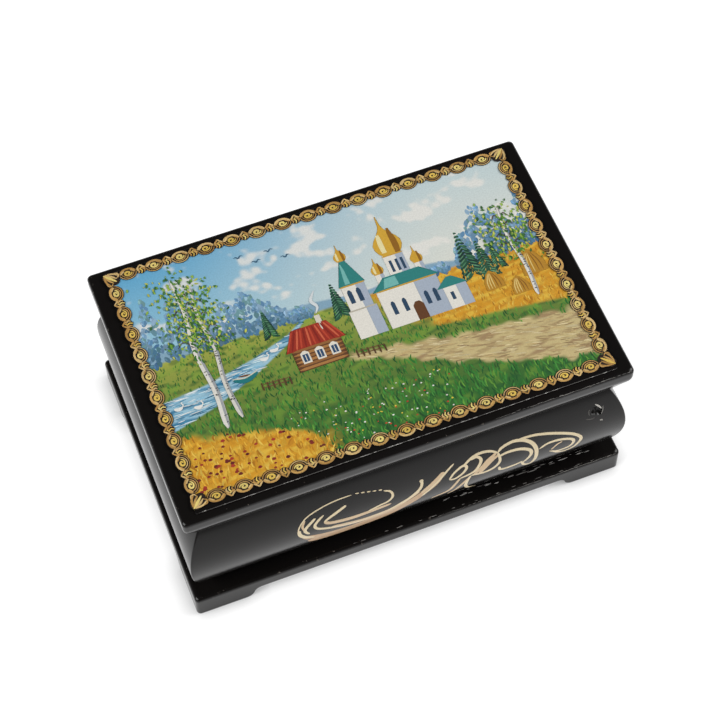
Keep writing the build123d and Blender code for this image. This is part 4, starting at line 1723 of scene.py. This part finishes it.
@dataclass
class Wear:
    """Marks of use and painted light: the panel's cut edge, dashes on the plinth, painted highlight lines
    on two arrises and a knock in the front wall.
    """

    knock: tuple[float, float] = (64.2, 32.6)  # x, and distance up the wall's curve
    knock_radius: float = 1.9
    knock_depth: float = 1.0
    ball_columns: int = 48
    ball_rows: int = 39
    lift: float = 0.012
    dash_crest: float = 0.006
    edge_crest: float = 0.01
    chip_crest: float = 0.02
    edge_inset: float = 0.12  # of the pale edge line, partly a painted highlight, from the panel's front edge
    edge_margin: float = 0.4  # at the line's two ends
    edge_dashes: int = 70
    # spans along x and dash spacing of the painted highlight lines on the lid's and the plinth's front
    # arrises
    lid_highlight_span: tuple[float, float] = (28, 73)
    plinth_highlight_span: tuple[float, float] = (10, 73)
    dash_step: float = 1.7
    # pale dash rows on the ledge: scuffs, and painted highlights along the wall's foot and the ledge's edge
    rows: tuple[ScuffAndHighlightRow, ...] = (
        ScuffAndHighlightRow(18, (12, 64), -44.4, ("#c4c1bc", "#dad7d2", "#a09d98"), (1.2, 3.8), (0.18, 0.38)),
        ScuffAndHighlightRow(12, (18, 62), -43.7, ("#a09d98", "#b8b5b0", "#86837f"), (0.8, 2.6), (0.12, 0.24)),
        ScuffAndHighlightRow(16, (-20, 64), -48.2, ("#7c7976", "#989590"), (0.8, 3.0), (0.14, 0.3)),
    )
    rng: np.random.Generator = field(default_factory=lambda: np.random.default_rng(23))

    def hollow(self, carcass: Carcass) -> Surface:
        """A ragged ball that cuts the knock: its cap of the set depth lies inside the wall.

        Its radius swells and shrinks with the heading over the wall, by two cosine waves.

        Args:
            carcass: the box that is knocked.

        Returns:
            The closed ball.
        """
        radius = (self.knock_radius**2 + self.knock_depth**2) / (2 * self.knock_depth)
        middle = carcass.on_front(np.array([self.knock]), np.array([radius - self.knock_depth]))
        columns, rows = self.ball_columns, self.ball_rows
        around = np.linspace(0, 2 * np.pi, columns, endpoint=False)[None]
        rise = np.linspace(0, np.pi, rows + 2)[1:-1, None]
        axes = [np.sin(rise) * np.cos(around), np.sin(rise) * np.sin(around), np.cos(rise) + 0 * around]
        ball = np.stack(axes, axis=-1).reshape(-1, 3)
        ball = np.concatenate([ball, [[0, 0, 1], [0, 0, -1]]])
        heading, reach = np.arctan2(ball[:, 2], ball[:, 0]), np.hypot(ball[:, 0], ball[:, 2])
        ragged = 1 + reach * (0.2 * np.cos(2 * heading + 1.2) + 0.12 * np.cos(3 * heading + 2))
        places = ball * ragged[:, None] * radius + middle
        ring, low, top = np.arange(columns), (rows - 1) * columns, rows * columns
        after = (ring + 1) % columns
        caps = np.stack([0 * ring + top, ring, after], axis=1).tolist()
        caps += np.stack([0 * ring + top + 1, low + after, low + ring], axis=1).tolist()
        return Surface(places, grid_faces(rows, columns, False, True).tolist() + caps)

    def cut_edge_and_highlight(self, lid: Lid) -> Surface:
        """The panel's pale cut front edge, partly a painted highlight: one thin line, with brighter dashes
        along it.

        Args:
            lid: the lid with its panel.

        Returns:
            The strokes.
        """
        half, y = lid.panel_half[0] - self.edge_margin, -lid.panel_half[1] + self.edge_inset
        line = lines([(0.18, "#625f5c", [(-half, y), (half, y)])], 40, 1, 1)
        count, rng = self.edge_dashes, self.rng
        places = np.stack([rng.uniform(-half, half, count), rng.normal(y, 0.02, count)], axis=1)
        tones = picked(rng, ("#8f8c88", "#a9a6a2", "#cac7c2"), count, 0.2)
        long, wide = rng.uniform(0.5, 2.4, count), rng.uniform(0.1, 0.24, count)
        dashes = dabs(places, long, wide, 0 * long, tones)
        return ribbons([line, dashes], lid.on_panel, self.lift, self.edge_crest)

    def scuff_and_highlight_dashes(self, carcass: Carcass) -> Surface:
        """Pale dashes on the plinth, partly scuffs and partly painted highlights: two bright rows under the
        front wall, a faint one at the edge.

        Args:
            carcass: the box below the lid.

        Returns:
            The strokes.
        """
        layers, rng = [], self.rng
        for row in self.rows:
            x = np.linspace(*row.span, row.count) + rng.normal(0, 1.2, row.count)
            places = np.stack([x, rng.normal(row.y, 0.22, row.count)], axis=1)
            tones = picked(rng, row.colours, row.count, 0.25)
            turn = rng.normal(0, 0.05, row.count)
            long, wide = rng.uniform(*row.length, row.count), rng.uniform(*row.width, row.count)
            layers.append(dabs(places, long, wide, turn, tones))
        return ribbons(layers, carcass.on_ledge, self.lift, self.dash_crest)

    def painted_arris_highlight(self, span: tuple[float, float], chart: Chart) -> Surface:
        """A painted highlight on an arris: a thin grey line, broken into dashes that thicken to the right.

        Args:
            span: x of its two ends.
            chart: maps x and distance from the arris's middle to places in space.

        Returns:
            The strokes.
        """
        rng = self.rng
        count = int((span[1] - span[0]) / self.dash_step)
        share = np.linspace(0, 1, count)
        places = np.stack([span[0] + share * (span[1] - span[0]), rng.normal(0, 0.06, count)], axis=1)
        wide = (0.1 + 0.2 * share) * rng.uniform(0.5, 1.2, count)
        tones = picked(rng, ("#6c6a67", "#83807c", "#565452"), count, 0.2)
        dashes = dabs(places, rng.uniform(1.2, 3.4, count), wide, 0 * share, tones)
        return ribbons([dashes], chart, self.lift, self.dash_crest)

    def chips(self, carcass: Carcass) -> Surface:
        """Bare scratches round the knock, set in shares of its radius, and one chip below it.

        Args:
            carcass: the box that is knocked.

        Returns:
            The strokes.
        """
        (x, y), r = self.knock, self.knock_radius
        rough = [
            (0.6, "#d2cec6", [(0.0, 1.6), (0.6, 1.0), (1.1, 0.25)]),
            (0.4, "#7e7b76", [(1.4, 0.75), (1.3, -0.2), (0.95, -1.0)]),
            (0.7, "#b2aea6", [(0.65, -2.3), (1.2, -2.5)]),
            (0.45, "#5a5754", [(-1.1, 0.9), (-1.3, 0.3), (-1.2, -0.4)]),
            (0.5, "#565350", [(-1.9, -1.0), (-1.0, -1.35), (-0.2, -1.3)]),
        ]
        bare = [(w, tone, [(x + a * r, y + b * r) for a, b in knots]) for w, tone, knots in rough]
        return ribbons([lines(bare, 14)], carcass.on_front, self.lift, self.chip_crest)

    def mark(self, carcass: Carcass, lid: Lid) -> None:
        """Lays the pale cut edge, the plinth's dashes, the chips round the knock and the painted highlights
        on two arrises.

        Args:
            carcass: the box below the lid.
            lid: the lid with its panel.
        """
        # The arris lines are painted highlights laid as grey dashes; the cut edge and the plinth dashes are
        # partly painted highlights too.
        rubbed = self.painted_arris_highlight
        pieces = (
            ("panel_cut_edge_and_highlight", self.cut_edge_and_highlight(lid), Body.LID, Slot.PICTURE),
            ("plinth_scuff_and_highlight_dashes", self.scuff_and_highlight_dashes(carcass), Body.BOX, Slot.BLACK),
            ("knock_chips", self.chips(carcass), Body.BOX, Slot.BLACK),
            ("lid_arris_painted_highlight", rubbed(self.lid_highlight_span, lid.on_arris), Body.LID, Slot.BLACK),
            ("plinth_arris_painted_highlight", rubbed(self.plinth_highlight_span, carcass.on_arris), Body.BOX, Slot.BLACK),
        )
        for name, strokes, body, slot in pieces:
            add_piece(name, strokes, (BARE_PAPER_AND_HIGHLIGHTS,), body)


@dataclass
class Hinges:
    """Two brass butt hinges, and the recesses that they lie in."""

    leaf_thickness: float = 0.8
    clearance: float = 0.1
    barrel_clearance: float = 0.3
    barrel_radius: float = 1.5
    pin_head: float = 0.4
    groove_steps: int = 40

    def dress(self) -> None:
        """Gives the leaves, pins and screws their brass."""
        for name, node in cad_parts.items():
            if name.startswith("hinge_"):
                node.data.materials.clear()
                node.data.materials.append(BRASS.material())
                LOG.info("%s: brass", name)

    def groove(self, side: Side) -> Surface:
        """The room round one barrel: a closed cylinder along the hinge's axis.

        Args:
            side: left or right.

        Returns:
            The closed cylinder.
        """
        low, high = node_box(f"hinge_pin_{side.value}")
        _, axis_y, axis_z = (low + high) / 2
        steps = self.groove_steps
        angle = np.linspace(0, 2 * np.pi, steps, endpoint=False)
        radius = self.barrel_radius + self.barrel_clearance
        ends = np.array([low[0] - self.barrel_clearance, high[0] + self.barrel_clearance])
        x = np.repeat(ends, steps)
        y = np.tile(axis_y + radius * np.cos(angle), 2)
        z = np.tile(axis_z + radius * np.sin(angle), 2)
        wall = grid_faces(2, steps, False, True)[:, ::-1].tolist()
        caps = [list(range(steps - 1, -1, -1)), list(range(steps, 2 * steps))]
        return Surface(np.stack([x, y, z], axis=1), wall + caps)

    def mortise(self, owner: Body, side: Side) -> Surface:
        """The shallow recess for one leaf, open towards the other leaf.

        Args:
            owner: the body that takes the leaf.
            side: left or right.

        Returns:
            A closed block, a leaf's thickness to each side of the leaf's open face.
        """
        low, high = node_box(f"hinge_{owner.value}_leaf_{side.value}")
        _, axis = node_box(f"hinge_pin_{side.value}")
        plate = node_box(f"hinge_screws_{owner.value}")
        face = plate[1][2] if owner is Body.BOX else plate[0][2]
        x = np.array([low[0] - self.clearance, high[0] + self.clearance])
        y = np.array([low[1] - self.clearance, axis[1] - self.pin_head])
        z = np.array([face - self.leaf_thickness, face + self.leaf_thickness])
        places = np.stack(np.meshgrid(x, y, z, indexing="ij"), axis=-1).reshape(-1, 3)
        faces = [[0, 1, 3, 2], [4, 6, 7, 5], [0, 4, 5, 1], [2, 3, 7, 6], [0, 2, 6, 4], [1, 5, 7, 3]]
        return Surface(places, faces)

    def let_in(self, piece: bpy.types.Object, owner: Body) -> None:
        """Cuts both hinges' recesses into the walls or the lid.

        Args:
            piece: the skin that takes the hinges.
            owner: the body that the skin rides on.
        """
        for side in (Side.LEFT, Side.RIGHT):
            carve(piece, self.mortise(owner, side))
            carve(piece, self.groove(side))


@dataclass
class Studio:
    """A backlit white sheet, a soft light on each side and the camera of the photograph."""

    camera_place: tuple[float, float, float] = (-123.47, -336.17, 626.04)
    azimuth: float = -20.311
    elevation: float = 58.598
    roll: float = -1.085
    lens: float = 104.773
    sensor: float = 36.0
    clip: tuple[float, float] = (10.0, 20000.0)  # nearest and farthest that the camera sees
    sheet_size: float = 4000.0
    sheet_drop: float = 0.05  # keeps the sheet just clear of the feet
    lamp_reach: float = 950.0  # to each side of the box
    lamp_front: float = -150.0
    lamp_height: float = 820.0
    lamp_size: float = 700.0
    lamp_power: float = 10.0  # watts
    room_light: tuple[float, float] = (0.5, 0.06)  # strength at the horizon and higher up
    room_rise: float = 0.6  # sine of the height from which the room is at its dimmest

    def camera(self) -> None:
        """Sets the camera up from its place, its direction and its roll."""
        turn, lift, tilt = np.radians([self.azimuth, self.elevation, self.roll])
        back = np.array([np.sin(turn) * np.cos(lift), -np.cos(turn) * np.cos(lift), np.sin(lift)])
        level = np.cross(-back, [0, 0, 1])
        level /= np.linalg.norm(level)
        rise = np.cross(level, -back)
        right = level * np.cos(tilt) + rise * np.sin(tilt)
        up = rise * np.cos(tilt) - level * np.sin(tilt)
        data = bpy.data.cameras.new("camera")
        data.lens, data.sensor_width = self.lens, self.sensor
        data.clip_start, data.clip_end = (distance * MM for distance in self.clip)
        eye = bpy.data.objects.new("camera", data)
        turned = np.eye(4)
        turned[:3, :3] = np.stack([right, up, back], axis=1)
        turned[:3, 3] = np.array(self.camera_place) * MM
        eye.matrix_world = Matrix(turned.tolist())
        bpy.context.scene.collection.objects.link(eye)
        bpy.context.scene.camera = eye

    def sheet(self) -> None:
        """Lays the backlit sheet under the box."""
        corner = np.array([(-1, -1, 0), (1, -1, 0), (1, 1, 0), (-1, 1, 0)])
        places = corner * self.sheet_size / 2 - (0, 0, self.sheet_drop)
        floor = Surface(places, [[0, 1, 2, 3]]).bare("floor_sheet")
        floor.data.materials.append(FLOOR_SHEET.material())

    def light(self) -> None:
        """Aims a soft square lamp at the box from each side, in a room that is dimmer higher up."""
        for name, side in (("left_softbox", -1), ("right_softbox", 1)):
            data = bpy.data.lights.new(name, "AREA")
            data.shape, data.energy = "RECTANGLE", self.lamp_power
            data.size = data.size_y = self.lamp_size * MM
            lamp = bpy.data.objects.new(name, data)
            lamp.location = Vector((side * self.lamp_reach, self.lamp_front, self.lamp_height)) * MM
            lamp.rotation_mode = "QUATERNION"
            lamp.rotation_quaternion = (-lamp.location).to_track_quat("-Z", "Y")
            bpy.context.scene.collection.objects.link(lamp)
        room = bpy.data.worlds.new("room")
        room.use_nodes = True
        tree = room.node_tree
        place = add_node(tree, "TexCoord", out="Generated")
        height = add_node(tree, "SeparateXYZ", {"Vector": place}, "Z")
        low, high = self.room_light
        span = {"From Min": 0.0, "From Max": self.room_rise, "To Min": low, "To Max": high}
        shade = add_node(tree, "MapRange", {"Value": height, **span}, interpolation_type="SMOOTHSTEP")
        backdrop = tree.nodes["Background"]
        tree.links.new(shade, backdrop.inputs["Strength"])
        backdrop.inputs["Color"].default_value = rgba("#ffffff")
        bpy.context.scene.world = room
        bpy.context.scene.view_settings.view_transform = "Standard"


def main() -> None:
    """Builds the box piece by piece, then the studio round it."""
    logging.basicConfig(level=logging.INFO, format="%(name)s: %(message)s")
    carcass, lid, hinges = Carcass(), Lid(), Hinges()
    walls = carcass.walls()
    carcass.plinth()
    carcass.floor()
    case = lid.case()
    lid.panel()
    Picture().paint(lid)
    Border().gild(lid)
    Flourish().paint(carcass)
    wear = Wear()
    carve(walls, wear.hollow(carcass))
    wear.mark(carcass, lid)
    hinges.let_in(walls, Body.BOX)
    hinges.let_in(case, Body.LID)
    hinges.dress()
    studio = Studio()
    studio.sheet()
    studio.light()
    studio.camera()


if __name__ == "__main__":
    main()
